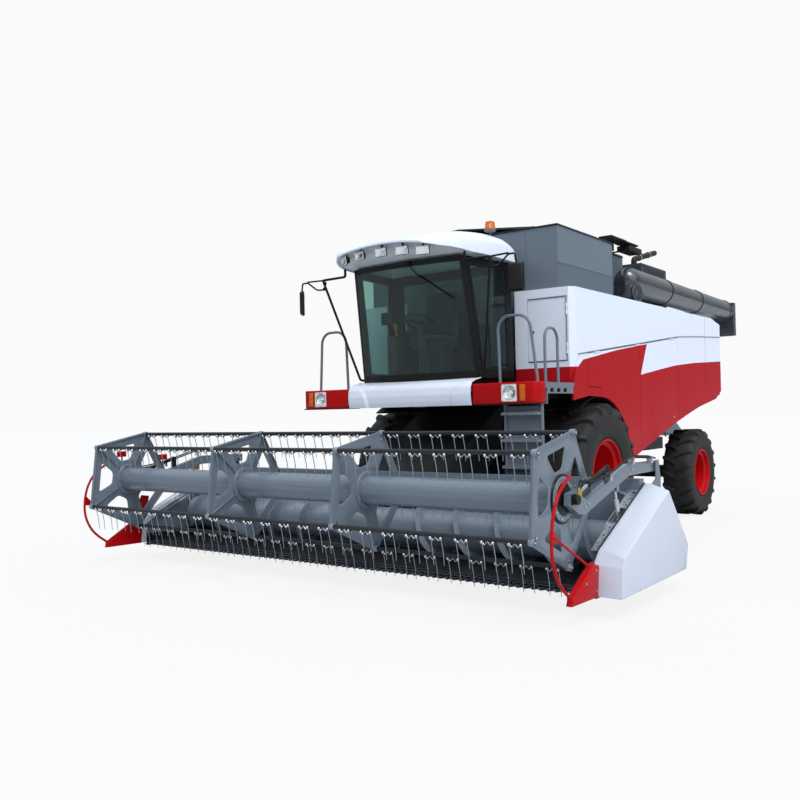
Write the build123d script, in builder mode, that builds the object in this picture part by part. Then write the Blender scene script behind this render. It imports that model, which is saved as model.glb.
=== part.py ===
from build123d import *
import os
from math import cos, hypot, pi, radians, sin, sqrt

# Combine harvester with a reel header, in millimetres.
# The origin is on the ground under the middle of the front axle. The machine faces -Y, +Z is up
# and +X is its own left, the side of the ladder and of the unloading tube.

# Clearances that repeat
seat = 0.3
run_fit = 0.05
panel_gap = 8

# Wheels
wheelbase = 3820
front_radius = 920
front_width = 775
front_rim = 435
front_wheel_x = 1375
rear_radius = 700
rear_width = 470
rear_rim = 345
rear_wheel_x = 1490
bead_share = 0.43
shoulder_drop = 95
rim_wall = 14
flange_wall = 12
flange_height = 30
tyre_facets = 36
lugs_per_side = 18
lug_angle = 45
front_lug = (56, 46)
rear_lug = (44, 38)
spindle_r = 80
rear_spindle_r = 50
disc_wall = 16
front_dish = -40
rear_dish = -20
hub_half = 65
hub_wall = 70
stud_count = 8
stud_r = 14

# Axles and frame
final_drive_r = 260
final_drive_x = 845
kingpin_x = 1140
kingpin_r = 40
boss_half = 130
rear_beam_half = 95
core_half = 730
frame_wall = 100
frame_low = 1050
frame_high = 1250
frame_front_y = -300
frame_rear_y = 4450
feeder_hinge_y = -620
feeder_hinge_z = 1620
feeder_pin_r = 45
feeder_half = 600
ear_wall = 60
ear_gap = 20

# Cylinders that lift the header and the reel: feet and eyes are (y, z) places
lift_x = 430
lift_foot = (-215, 860)
lift_eye = (-1500, 744)
lift_barrel_r = 55
lift_rod_r = 32
lift_pin_r = 25
reel_lift_x = 3022
reel_lift_foot = (-2790, 600)
reel_lift_eye = (-2890, 1030)
reel_barrel_r = 22
reel_rod_r = 11
reel_pin_r = 8

# Body
deck_z = 2240
body_half = 1650
skin = 30
panel_top_z = 3270
front_wall_y = -770
front_wall_half = 1590
side_front_y = -690
fender_front_y = -800
arch_r = 1000
liner_wall = 12
tank_half = 1450
tank_front_y = -740
tank_rear_y = 2100
tank_step_y = 950
tank_step_x = 1130
tank_top_z = 4050
tank_wall = 12
tank_floor_z = 2340
hopper_top_z = 3100
hopper_half = 420
deck_rear_y = 4670

# Cab
cab_floor_z = 2170
cab_sill_z = 2245
cab_roof_z = 3600
cab_lintel_z = 3540
cab_half = 950
cab_top_half = 930
cab_rear_y = -1000
cab_front_half = 860
cab_front_y = -1707
cab_front_top_y = -1930
cab_front_top_half = 810
windshield_bulge = 75
glass = 8
pillar = 45
door_wall = 30
door_gap = 6

# Door hinges: a pin on the door's edge, held at both ends by lugs of the fixed piece
hinge_pin_r = 6
hinge_lug_r = 13
hinge_half = 30
hinge_lug = 40

# Unloading tube
unload_x = 1420
unload_y = 1560
unload_z = 3600
unload_r = 195
unload_end = (1500, 5900, 3500)
spout_bottom_z = 3050
foot_r = 180
foot_collar_r = 220

# Header
header_half = 3065
header_wall = 10
knife_y = -3450
knife_z = 190
auger_y = -2720
auger_z = 520
auger_drum_r = 200
auger_drum_half = 2960
auger_flight_r = 290
auger_pitch = 480
auger_shaft_r = 30
trough_r = 310
pan_wall = 6
header_back_y = -2404
header_beam = 110
header_top_z = 1090
arm_pivot_y = -1950
arm_pivot_z = 1190
arm_pin_r = 25
arm_low_x = 2995
arm_high_x = 3050
guard_pitch = 76.2
shroud_x = 3135
shroud_out_x = 3350
hoop_x = 3105

# Reel
reel_y = -3820
reel_z = 1030
reel_r = 600
reel_phase = 6.7
reel_bars_count = 5
reel_tube_r = 140
reel_ring_r = 190
reel_shaft_r = 30
star_wall = 10
star_x = (-2940, -860, 860, 2940)
bar_r = 22
bar_half = 2960
tine_pitch = 127
tines_per_bar = 46
tine_length = 250
tine_wall = 7


def plate_x(outline, x_low, x_high, mode=Mode.ADD):
    """Block with a side view of (y, z) corners, from one x to the other."""
    with BuildSketch(Plane.YZ.offset(x_low)) as face:
        with BuildLine():
            Polyline(*outline, close=True)
        make_face()
    extrude(face.sketch, amount=x_high - x_low, mode=mode)


def plate_y(outline, y_low, y_high, mode=Mode.ADD):
    """Block with a front view of (x, z) corners, from one y to the other."""
    with BuildSketch(Plane.XZ.offset(-y_high)) as face:
        with BuildLine():
            Polyline(*outline, close=True)
        make_face()
    extrude(face.sketch, amount=y_high - y_low, mode=mode)


def plate_z(outline, z_low, z_high, mode=Mode.ADD):
    """Block with a plan of (x, y) corners, from one z to the other."""
    with BuildSketch(Plane.XY.offset(z_low)) as face:
        with BuildLine():
            Polyline(*outline, close=True)
        make_face()
    extrude(face.sketch, amount=z_high - z_low, mode=mode)


def block(low, high, mode=Mode.ADD):
    """Square block between its lowest and highest corners."""
    sizes = [b - a for a, b in zip(low, high)]
    with Locations(tuple(low)):
        Box(*sizes, align=(Align.MIN, Align.MIN, Align.MIN), mode=mode)


def side_block(side, x_pair, y_pair, z_pair, mode=Mode.ADD):
    """Square block on one side of the machine, its x values counted outwards."""
    x_low, x_high = sorted((side * x_pair[0], side * x_pair[1]))
    block((x_low, y_pair[0], z_pair[0]), (x_high, y_pair[1], z_pair[1]), mode)


def side_plate(side, outline, x_near, x_far, mode=Mode.ADD):
    """Plate with a side view on one side of the machine, its x values counted outwards."""
    plate_x(outline, *sorted((side * x_near, side * x_far)), mode)


def rod(start, end, radius, mode=Mode.ADD):
    """Round bar between two points."""
    run = Vector(*end) - Vector(*start)
    with BuildSketch(Plane(origin=start, z_dir=run)) as section:
        Circle(radius)
    extrude(section.sketch, amount=run.length, mode=mode)


def cross_rod(x_pair, place, radius, mode=Mode.ADD):
    """Round bar across the machine at a (y, z) place."""
    rod((x_pair[0], *place), (x_pair[1], *place), radius, mode)


def pipe(points, radius, bend):
    """Bent round tube through corner points."""
    with BuildLine() as route:
        FilletPolyline(*points, radius=bend)
    with BuildSketch(Plane(origin=route.line @ 0, z_dir=route.line % 0)) as section:
        Circle(radius)
    sweep(section.sketch, path=route.line)


def hinge_ends(edge, share):
    """Ends of a door's pin at a share of its hinge edge, and the run along the edge."""
    start, end = Vector(*edge[0]), Vector(*edge[1])
    way = (end - start).normalized()
    middle = start + (end - start) * share
    return [(middle + way * hand * hinge_half, way * hand) for hand in (-1, 1)]


def add_lugs(edge, shares):
    """Bored lugs of the fixed piece along a hinge edge."""
    for share in shares:
        for near, way in hinge_ends(edge, share):
            rod(near + way * seat, near + way * hinge_lug, hinge_lug_r)
    for share in shares:
        for near, way in hinge_ends(edge, share):
            rod(near, near + way * (hinge_lug + 1), hinge_pin_r + run_fit, Mode.SUBTRACT)


def add_pins(edge, shares):
    """Pins of the door along its hinge edge, with room round the lugs."""
    for share in shares:
        for near, way in hinge_ends(edge, share):
            rod(near, near + way * (hinge_lug + 5), hinge_lug_r + 5, Mode.SUBTRACT)
    for share in shares:
        (near, way), (far, _) = hinge_ends(edge, share)
        rod(near + way * hinge_lug, far - way * hinge_lug, hinge_pin_r)


# Wheels: name, distance from the middle, y, tyre radius, width, rim radius, dish, lug sizes, shaft radius
wheels = (
    (
        "front", front_wheel_x, 0, front_radius, front_width,
        front_rim, front_dish, front_lug, spindle_r,
    ),
    (
        "rear", rear_wheel_x, wheelbase, rear_radius, rear_width,
        rear_rim, rear_dish, rear_lug, rear_spindle_r,
    ),
)
pieces = {}

for name, wheel_x, wheel_y, radius, width, rim, dish, lug, shaft_r in wheels:
    hub_point = (wheel_x, wheel_y, radius)
    lug_width, lug_height = lug
    # share of the width, radius
    carcass = (
        (-bead_share, rim + 45),
        (-0.50, rim + 0.45 * (radius - rim)),
        (-0.47, radius - shoulder_drop),
        (-0.33, radius - lug_height),
        (0.33, radius - lug_height),
        (0.47, radius - shoulder_drop),
        (0.50, rim + 0.45 * (radius - rim)),
        (bead_share, rim + 45),
    )
    slant = radians(lug_angle)
    lug_share = 0.2475
    lug_run = (2 * lug_share * width - lug_width * sin(slant)) / cos(slant)
    lug_turned = (lug_run * sin(slant) + lug_width * cos(slant)) / 2
    lug_top = sqrt(radius**2 - lug_turned**2)
    lug_low = radius - 2.6 * lug_height
    lug_places = []
    for hand in (-1, 1):
        for i in range(lugs_per_side):
            turn = 2 * pi * (i + 0.25 * hand) / lugs_per_side
            out = Vector(0, cos(turn), sin(turn))
            onward = Vector(0, -sin(turn), cos(turn))
            along = Vector(hand * cos(slant), 0, 0) - onward * sin(slant)
            aside = Vector(hand * lug_share * width, 0, 0)
            middle = Vector(*hub_point) + aside + out * ((lug_top + lug_low) / 2)
            lug_places.append(Plane(origin=middle, x_dir=along, z_dir=out))
    with BuildPart() as tyre:
        sections = []
        for share, ring_r in carcass:
            ring_point = (wheel_x + share * width, wheel_y, radius)
            with BuildSketch(Plane(origin=ring_point, x_dir=(0, 1, 0), z_dir=(1, 0, 0))) as ring:
                RegularPolygon(ring_r, tyre_facets)
            sections.append(ring.sketch)
        loft(sections, ruled=True)
        with Locations(*lug_places):
            Box(lug_run, lug_width, lug_top - lug_low)
        bead_point = (wheel_x - width, wheel_y, radius)
        with BuildSketch(Plane(origin=bead_point, x_dir=(0, 1, 0), z_dir=(1, 0, 0))) as bead_hole:
            RegularPolygon((rim + seat) / cos(pi / tyre_facets), tyre_facets)
        extrude(bead_hole.sketch, amount=2 * width, mode=Mode.SUBTRACT)

    with BuildPart() as wheel:
        flange = bead_share * width + seat + flange_wall
        with BuildSketch(Plane(origin=hub_point, x_dir=(1, 0, 0), z_dir=(0, -1, 0))) as section:
            with Locations((0, rim - rim_wall / 2)):
                Rectangle(2 * flange, rim_wall)
            flange_out = flange - flange_wall / 2
            with Locations((flange_out, rim + flange_height / 2), (-flange_out, rim + flange_height / 2)):
                Rectangle(flange_wall, flange_height + 2)
            with Locations((dish, (rim + shaft_r) / 2 - 2)):
                Rectangle(disc_wall, rim - shaft_r - 6)
            with Locations((dish, shaft_r + run_fit + hub_wall / 2)):
                Rectangle(2 * hub_half, hub_wall)
        revolve(section.sketch, axis=Axis(hub_point, (1, 0, 0)))
        cross_rod((wheel_x - width, wheel_x + width), (wheel_y, radius), shaft_r + run_fit, Mode.SUBTRACT)
        with BuildSketch(Plane(origin=hub_point, x_dir=(0, 1, 0), z_dir=(1, 0, 0)).offset(dish)) as studs:
            with PolarLocations(shaft_r + hub_wall + 2 * stud_r, stud_count):
                Circle(stud_r)
        extrude(studs.sketch, amount=disc_wall / 2 + 22)

    for label, piece in (("tyre", tyre), ("wheel", wheel)):
        with BuildPart() as other_side:
            mirror(piece.part, about=Plane.YZ)
        pieces[f"{label}_{name}_left"] = piece
        pieces[f"{label}_{name}_right"] = other_side

# Front axle: beam, planetary final drives, stub shafts, and the ears and pins of the lift cylinders
front_beam_half = frame_low - front_radius
front_hub_x = front_wheel_x + front_dish - hub_half
lift_ear_gap = lift_barrel_r + 5
lift_ear_wall = 20
with BuildPart() as front_axle:
    beam_x = final_drive_x + 15
    beam_top = front_radius + front_beam_half
    block((-beam_x, -front_beam_half, front_radius - front_beam_half), (beam_x, front_beam_half, beam_top))
    for side in (-1, 1):
        cross_rod((side * final_drive_x, side * (front_hub_x - 25)), (0, front_radius), final_drive_r)
        drive_face = (side * (front_hub_x - 60), side * (front_hub_x - seat))
        cross_rod(drive_face, (0, front_radius), final_drive_r - 90)
        shaft_end = front_hub_x + 2 * hub_half + 30
        cross_rod((side * (final_drive_x + 20), side * shaft_end), (0, front_radius), spindle_r)
        for ear in (-1, 1):
            ear_x = side * lift_x + ear * (lift_ear_gap + lift_ear_wall / 2)
            ear_low = (ear_x - lift_ear_wall / 2, lift_foot[0] - 50, lift_foot[1] - 45)
            block(ear_low, (ear_x + lift_ear_wall / 2, 5 - front_beam_half, lift_foot[1] + 45))
        pin_half = lift_ear_gap + lift_ear_wall
        cross_rod((side * lift_x - pin_half, side * lift_x + pin_half), lift_foot, lift_pin_r)
pieces["front_axle"] = front_axle

# Rear axle: a beam that hangs on its middle trunnion, with upright bosses for the king pins
with BuildPart() as rear_axle:
    beam_low = (-kingpin_x, wheelbase - rear_beam_half, rear_radius - rear_beam_half)
    block(beam_low, (kingpin_x, wheelbase + rear_beam_half, rear_radius + rear_beam_half))
    trunnion = ((-260, rear_radius), (260, rear_radius), (150, frame_low), (-150, frame_low))
    plate_y(trunnion, wheelbase - 70, wheelbase + 70)
    for side in (-1, 1):
        pin_x = side * kingpin_x
        boss_low = (pin_x, wheelbase, rear_radius - boss_half)
        rod(boss_low, (pin_x, wheelbase, rear_radius + boss_half), kingpin_r + 32)
    for side in (-1, 1):
        pin_x = side * kingpin_x
        bore_low = (pin_x, wheelbase, rear_radius - 2 * boss_half)
        rod(bore_low, (pin_x, wheelbase, rear_radius + 2 * boss_half), kingpin_r + run_fit, Mode.SUBTRACT)
pieces["rear_axle"] = rear_axle

# Knuckles: two ears round the beam's boss, the king pin and the stub shaft
rear_hub_x = rear_wheel_x + rear_dish - hub_half
yoke_half = boss_half + 45
yoke_out_x = kingpin_x + 150
for name, side in (("left", 1), ("right", -1)):
    pin_x = side * kingpin_x
    with BuildPart() as knuckle:
        for end in (-1, 1):
            z_low, z_high = sorted((rear_radius + end * (boss_half + seat), rear_radius + end * yoke_half))
            rod((pin_x, wheelbase, z_low), (pin_x, wheelbase, z_high), 75)
            side_block(side, (kingpin_x, yoke_out_x), (wheelbase - 60, wheelbase + 60), (z_low, z_high))
        pin_low = (pin_x, wheelbase, rear_radius - yoke_half)
        rod(pin_low, (pin_x, wheelbase, rear_radius + yoke_half), kingpin_r)
        yoke_z = (rear_radius - yoke_half, rear_radius + yoke_half)
        side_block(side, (yoke_out_x - 60, yoke_out_x), (wheelbase - 75, wheelbase + 75), yoke_z)
        stub_start = side * (yoke_out_x - 50)
        cross_rod((stub_start, side * (rear_hub_x - seat)), (wheelbase, rear_radius), 90)
        stub_end = side * (rear_hub_x + 2 * hub_half + 20)
        cross_rod((stub_start, stub_end), (wheelbase, rear_radius), rear_spindle_r)
        arm_z = (rear_radius - yoke_half, rear_radius - boss_half - 15)
        side_block(side, (kingpin_x - 90, kingpin_x + 30), (wheelbase + 50, wheelbase + 260), arm_z)
    pieces["knuckle_" + name] = knuckle

# Frame: two side rails, cross members, the ears that carry the feeder house, and the rear hitch
hitch_y = 4700
hitch_z = 820
hitch_bore_r = 17
hitch_half = 60
hitch_slot_half = 14
frame_half = core_half + frame_wall
ear_outline = (
    (feeder_hinge_y - 95, feeder_hinge_z + 60),
    (feeder_hinge_y - 95, feeder_hinge_z - 60),
    (feeder_hinge_y - 30, feeder_hinge_z - 110),
    (frame_front_y - 60, frame_high - 10),
    (frame_front_y, frame_high - 10),
    (frame_front_y, feeder_hinge_z + 220),
    (feeder_hinge_y - 30, feeder_hinge_z + 110),
)
hitch_outline = (
    (frame_rear_y - 200, frame_low),
    (frame_rear_y, frame_low),
    (hitch_y - 60, hitch_z + 40),
    (hitch_y + 60, hitch_z + 40),
    (hitch_y + 60, hitch_z - 40),
    (hitch_y - 80, hitch_z - 40),
)
with BuildPart() as chassis_frame:
    for side in (-1, 1):
        side_block(side, (core_half, frame_half), (frame_front_y, frame_rear_y), (frame_low, frame_high))
        side_plate(side, ear_outline, feeder_half + ear_gap, feeder_half + ear_gap + ear_wall)
    # cross members: front y, rear y, top z
    for y_low, y_high, z_high in (
        (frame_front_y - 60, frame_front_y, frame_high),
        (-120, 120, frame_low + 45),
        (wheelbase - 110, wheelbase + 110, frame_low + 90),
        (frame_rear_y - 90, frame_rear_y, frame_low + 90),
    ):
        block((-frame_half, y_low, frame_low), (frame_half, y_high, z_high))
    hinge_place = (feeder_hinge_y, feeder_hinge_z)
    cross_rod((-frame_half, frame_half), hinge_place, feeder_pin_r + run_fit, Mode.SUBTRACT)
    plate_x(hitch_outline, -hitch_half, hitch_half)
    slot_low = (-hitch_half - 10, hitch_y - 70, hitch_z - hitch_slot_half)
    block(slot_low, (hitch_half + 10, hitch_y + 70, hitch_z + hitch_slot_half), Mode.SUBTRACT)
    rod((0, hitch_y, hitch_z - 80), (0, hitch_y, hitch_z + 80), hitch_bore_r, Mode.SUBTRACT)
pieces["chassis_frame"] = chassis_frame

# Threshing and cleaning housing between the rails
core_outline = (
    (frame_front_y, frame_high),
    (frame_front_y, 1950),
    (-700, 1950),
    (-700, deck_z),
    (4250, deck_z),
    (4700, 2050),
    (4700, 1560),
    (4100, 1330),
    (3300, 1180),
    (2850, 860),
    (900, 760),
    (330, 1110),
    (120, frame_low + 45),
    (-120, frame_low + 45),
    (-120, frame_high),
)
with BuildPart() as threshing_body:
    plate_x(core_outline, -core_half, core_half)
pieces["threshing_body"] = threshing_body

# Grain tank: a hopper under an upright box whose left rear corner stands back for the unloading tube
tank_plan = (
    (-tank_half, tank_front_y),
    (tank_half, tank_front_y),
    (tank_half, tank_step_y),
    (tank_step_x, tank_step_y),
    (tank_step_x, tank_rear_y),
    (-tank_half, tank_rear_y),
)
tank_room = (
    (tank_wall - tank_half, tank_front_y + tank_wall),
    (tank_half - tank_wall, tank_front_y + tank_wall),
    (tank_half - tank_wall, tank_step_y - tank_wall),
    (tank_step_x - tank_wall, tank_step_y - tank_wall),
    (tank_step_x - tank_wall, tank_rear_y - tank_wall),
    (tank_wall - tank_half, tank_rear_y - tank_wall),
)
hopper_inset_y = 300


def hopper_level(half, y_inset, z):
    """Plan of the hopper at one height."""
    with BuildSketch(Plane.XY.offset(z)) as level:
        with Locations((0, (tank_front_y + tank_rear_y) / 2)):
            Rectangle(2 * half, tank_rear_y - tank_front_y - 2 * y_inset)
    return level.sketch


with BuildPart() as grain_tank:
    plate_z(tank_plan, hopper_top_z, tank_top_z)
    outer_top = hopper_level(tank_step_x, 0, hopper_top_z)
    loft([outer_top, hopper_level(hopper_half, hopper_inset_y, deck_z)], ruled=True)
    plate_z(tank_room, hopper_top_z + tank_wall, tank_top_z + 10, Mode.SUBTRACT)
    room_top = hopper_level(tank_step_x - 2 * tank_wall, 2 * tank_wall, hopper_top_z + tank_wall)
    room_floor = hopper_level(hopper_half - tank_wall, hopper_inset_y + tank_wall, tank_floor_z)
    loft([room_top, room_floor], ruled=True, mode=Mode.SUBTRACT)
    # fixed top over the part outside the left cover
    block((tank_step_x, tank_front_y, tank_top_z - tank_wall), (tank_half, tank_step_y, tank_top_z))
pieces["grain_tank"] = grain_tank

# Tank covers: two lids hinged along the tank's sides that meet over its middle
cover_edge_z = tank_top_z + 22
cover_ridge_z = 4194
cover_wall = 12
cover_bead_r = 5
for name, side, edge in (("left", 1, tank_step_x - 4), ("right", -1, tank_half - 4)):
    lid = (
        (side * edge, tank_top_z + seat),
        (side * edge, cover_edge_z),
        (side * 4, cover_ridge_z),
        (side * 4, cover_ridge_z - cover_wall),
        (side * (edge - 36), tank_top_z + seat),
    )
    with BuildPart() as cover:
        plate_y(lid, tank_front_y + 4, tank_rear_y - 4)
        # rolled bead that the lid turns on
        bead_front = (side * edge, tank_front_y + 4, cover_edge_z)
        rod(bead_front, (side * edge, tank_rear_y - 4, cover_edge_z), cover_bead_r)
    pieces["tank_cover_" + name] = cover

# Engine: one plain block on the rear of the deck
with BuildPart() as engine_block:
    block((-450, 2650, deck_z + seat), (450, 3750, 3150))
pieces["engine_block"] = engine_block

# Side panels: the fixed skin, shelf, front wall and wheel arch, and a gull-wing door in each side
door_front_y = -380
door_rear_y = 2940
seam_front_z = 2470
seam_rear_z = 2850
door_low_rear_z = 1560
arch_lip_z = front_radius + arch_r + 110
service_x = (1030, 1570)
service_z = (2360, 3160)
rear_skin = (
    (door_rear_y, door_low_rear_z),
    (3360, 1650),
    (3920, 1760),
    (4830, 1890),
    (5140, 2030),
    (5140, 3190),
    (deck_rear_y, panel_top_z),
)
shell_outline = (
    (side_front_y, panel_top_z),
    (side_front_y, 2400),
    (fender_front_y, 2010),
    (fender_front_y, 1880),
    (-350, 1935),
    (0, front_radius + arch_r),
    (0, arch_lip_z),
    (door_front_y, 2050),
    (door_front_y, seam_front_z),
    (door_rear_y, seam_rear_z),
) + rear_skin


def seam_z(y):
    """Height of the straight hinge seam at a place along the side."""
    share = (y - door_front_y) / (door_rear_y - door_front_y)
    return seam_front_z + share * (seam_rear_z - seam_front_z)


def arch_point(y, radius=arch_r):
    """Point of the wheel arch above a place along the side."""
    return (y, front_radius + sqrt(radius**2 - y**2))


near_y = door_front_y + panel_gap
far_y = door_rear_y - panel_gap
side_hinges = (0.08, 0.5, 0.92)
service_edge = [(service_x[1] - door_gap, front_wall_y, z) for z in service_z]
service_hinges = (0.2, 0.8)
for name, side in (("left", 1), ("right", -1)):
    inner_x = body_half - skin
    seam_edge = [(side * body_half, y, seam_z(y) - panel_gap) for y in (near_y, far_y)]
    with BuildPart() as shell:
        side_plate(side, shell_outline, inner_x, body_half)
        shelf_z = (panel_top_z - skin, panel_top_z)
        side_block(side, (tank_half + seat, inner_x), (side_front_y, deck_rear_y), shelf_z)
        wall_y = (front_wall_y, front_wall_y + skin)
        side_block(side, (core_half + 120, front_wall_half), wall_y, (2010, panel_top_z))
        bevel = (
            (side * front_wall_half, front_wall_y),
            (side * body_half, side_front_y),
            (side * inner_x, side_front_y + 10),
            (side * (front_wall_half - 10), front_wall_y + skin),
        )
        plate_z(bevel, 2010, panel_top_z)
        with BuildSketch(Plane.YZ.offset(min(side * 1060, side * (inner_x - 10)))) as liner:
            with BuildLine():
                ends = [arch_point(y, r) for y, r in ((-530, arch_r), (975, arch_r))]
                outer_ends = [arch_point(y, arch_r + liner_wall) for y in (975, -530)]
                ThreePointArc(ends[0], arch_point(300), ends[1])
                Line(ends[1], outer_ends[0])
                ThreePointArc(outer_ends[0], arch_point(300, arch_r + liner_wall), outer_ends[1])
                Line(outer_ends[1], ends[0])
            make_face()
        extrude(liner.sketch, amount=inner_x - 10 - 1060)
        # web that ties the arch to the skin
        side_block(side, (1060, body_half), (-40, -10), (front_radius + arch_r + 2, arch_lip_z))
        if side == 1:
            service_hole = (front_wall_y - 10, front_wall_y + skin + 10)
            side_block(side, service_x, service_hole, service_z, Mode.SUBTRACT)
            add_lugs(service_edge, service_hinges)
            shelf_hole = (unload_x, unload_y, panel_top_z - skin - 10)
            rod(shelf_hole, (unload_x, unload_y, panel_top_z + 10), foot_r + 10 + seat, Mode.SUBTRACT)
        add_lugs(seam_edge, side_hinges)
    pieces["side_shell_" + name] = shell

    with BuildPart() as side_door:
        with BuildSketch(Plane.YZ.offset(min(side * inner_x, side * body_half))) as panel:
            with BuildLine():
                arch_low, arch_high = arch_point(920), arch_point(panel_gap)
                Polyline(
                    arch_high,
                    (panel_gap, arch_lip_z + panel_gap),
                    (near_y, 2050 + panel_gap),
                    (near_y, seam_z(near_y) - panel_gap),
                    (far_y, seam_z(far_y) - panel_gap),
                    (far_y, door_low_rear_z),
                    (2255, 1400),
                    (1630, 1235),
                    (1060, 1085),
                    arch_low,
                )
                ThreePointArc(arch_low, arch_point(500), arch_high)
            make_face()
        extrude(panel.sketch, amount=skin)
        add_pins(seam_edge, side_hinges)
    pieces["side_door_" + name] = side_door

# Service door in the front wall beside the cab
with BuildPart() as service_door:
    door_x = (service_x[0] + door_gap, service_x[1] - door_gap)
    door_z = (service_z[0] + door_gap, service_z[1] - door_gap)
    side_block(1, door_x, (front_wall_y, front_wall_y + skin / 2), door_z)
    add_pins(service_edge, service_hinges)
pieces["service_door"] = service_door

# Engine deck and the cradle that the folded tube lies over
with BuildPart() as engine_deck:
    deck_low = (-tank_half, tank_rear_y + seat, panel_top_z - skin)
    block(deck_low, (tank_step_x, deck_rear_y, panel_top_z))
    block((tank_step_x, 2091, panel_top_z - skin), (tank_half, deck_rear_y, panel_top_z))
    for side in (-1, 1):
        stiffener_y = (tank_rear_y + seat, deck_rear_y - 300)
        side_block(side, (1360, 1400), stiffener_y, (panel_top_z - 150, panel_top_z - skin))
    saddle = ((1380, panel_top_z - 5), (1445, panel_top_z - 5), (1445, 3330), (1420, 3330))
    plate_y(saddle, 4040, 4100)
pieces["engine_deck"] = engine_deck

# Louvred air box on the deck
hood_low = (-1200, 2670, panel_top_z + seat)
hood_high = (1200, 3780, 4035)
hood_wall = 14
louvre_pitch = 60
louvre_wide = 26
louvre_tall = 170
with BuildPart() as engine_hood:
    block(hood_low, hood_high)
    hollow_low = (hood_low[0] + hood_wall, hood_low[1] + hood_wall, hood_low[2] - 1)
    hollow_high = [value - hood_wall for value in hood_high]
    block(hollow_low, hollow_high, Mode.SUBTRACT)
    slots = int((hood_high[1] - hood_low[1] - 160) / louvre_pitch)
    first_slot = (hood_low[1] + hood_high[1] - (slots - 1) * louvre_pitch) / 2
    slot_z = hood_high[2] - 60 - louvre_tall / 2
    with Locations(*[(0, first_slot + louvre_pitch * i, slot_z) for i in range(slots)]):
        Box(2 * hood_high[0] + 40, louvre_wide, louvre_tall, mode=Mode.SUBTRACT)
pieces["engine_hood"] = engine_hood

# Exhaust: a stub that leans back over the hood
exhaust_x = 1060
with BuildPart() as exhaust:
    exhaust_foot = (exhaust_x, 2740, hood_high[2] + seat)
    pipe((exhaust_foot, (exhaust_x, 2740, hood_high[2] + 80), (exhaust_x, 3650, 4335)), 45, 50)
pieces["exhaust"] = exhaust

# Rear hood between the side panels, open below for the straw
rear_hood_outline = (
    (deck_rear_y + seat, panel_top_z),
    (5100, 3190),
    (5230, 2900),
    (5250, 2300),
    (5160, 1960),
    (5140, 1960),
    (5230, 2300),
    (5210, 2890),
    (5085, 3170),
    (deck_rear_y + seat, panel_top_z - skin),
)
with BuildPart() as rear_hood:
    plate_x(rear_hood_outline, seat + skin - body_half, body_half - skin - seat)
pieces["rear_hood"] = rear_hood

# Straw chopper under the hood, its tail board and the fins that spread the straw
chopper_half = 690
fin_pitch = 160
chopper_front_y = 4700 + seat
chopper_outline = (
    (chopper_front_y, 2050),
    (chopper_front_y, 1560),
    (4980, 1430),
    (5560, 1480),
    (5620, 1600),
    (5180, 1900),
)
cheek_outline = ((5000, 1330), (6060, 1190), (6060, 1215), (5560, 1470), (4990, 1430))
fin_outline = ((5540, 1480), (6040, 1225), (6060, 1215), (6060, 1180), (5500, 1400))
with BuildPart() as straw_chopper:
    plate_x(chopper_outline, -chopper_half, chopper_half)
    for side in (-1, 1):
        side_plate(side, cheek_outline, chopper_half - 20, chopper_half)
    for i in range(7):
        x = fin_pitch * (i - 3)
        plate_x(fin_outline, x - 5, x + 5)
    plate_x(((5560, 1485), (6060, 1235), (6060, 1215), (5540, 1465)), -chopper_half, chopper_half)
pieces["straw_chopper"] = straw_chopper

# Unloading auger: fixed foot on its plate, with the cross tube from the hopper
foot_top_z = unload_z - unload_r - 20
collar_height = 40
with BuildPart() as auger_foot:
    rod((unload_x, unload_y, deck_z + 400), (unload_x, unload_y, foot_top_z), foot_r)
    rod((unload_x, unload_y, foot_top_z - collar_height), (unload_x, unload_y, foot_top_z), foot_collar_r)
    rod((unload_x, unload_y, panel_top_z - skin), (unload_x, unload_y, panel_top_z + 50), foot_r + 10)
    plate_low = (tank_step_x + 5, tank_step_y + 5, panel_top_z - skin)
    block(plate_low, (tank_half, 2090, panel_top_z))
    rod((unload_x, unload_y, deck_z + 520), (920, unload_y, deck_z + 400), 150)
pieces["auger_foot"] = auger_foot

# The tube that swings out, with its elbow, flanged joints and spout
with BuildPart() as unloading_auger:
    elbow = (unload_x, unload_y, unload_z)
    rod((unload_x, unload_y, foot_top_z + seat), elbow, foot_r)
    collar_top = (unload_x, unload_y, foot_top_z + collar_height)
    rod((unload_x, unload_y, foot_top_z + seat), collar_top, foot_collar_r)
    with Locations(elbow):
        Sphere(unload_r)
    rod(elbow, unload_end, unload_r)
    tube_run = Vector(*unload_end) - Vector(*elbow)
    along = tube_run.normalized()
    for share in (0.30, 0.62, 0.97):
        middle = Vector(*elbow) + tube_run * share
        rod(middle - along * 18, middle + along * 18, unload_r + 10)
    end_x, end_y, end_z = unload_end
    block((end_x - 190, end_y - 20, spout_bottom_z), (end_x + 190, end_y + 120, end_z + 150))
    mouth_low = (end_x - 170, end_y - 5, spout_bottom_z - 10)
    block(mouth_low, (end_x + 170, end_y + 105, end_z - 60), Mode.SUBTRACT)
pieces["unloading_auger"] = unloading_auger

# Cab: plan corners at the floor and at the roof, on the machine's left
side_low = (cab_half, cab_rear_y)
side_high = (cab_top_half, cab_rear_y)
corner_low = (cab_front_half, cab_front_y)
corner_high = (cab_front_top_half, cab_front_top_y)


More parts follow.
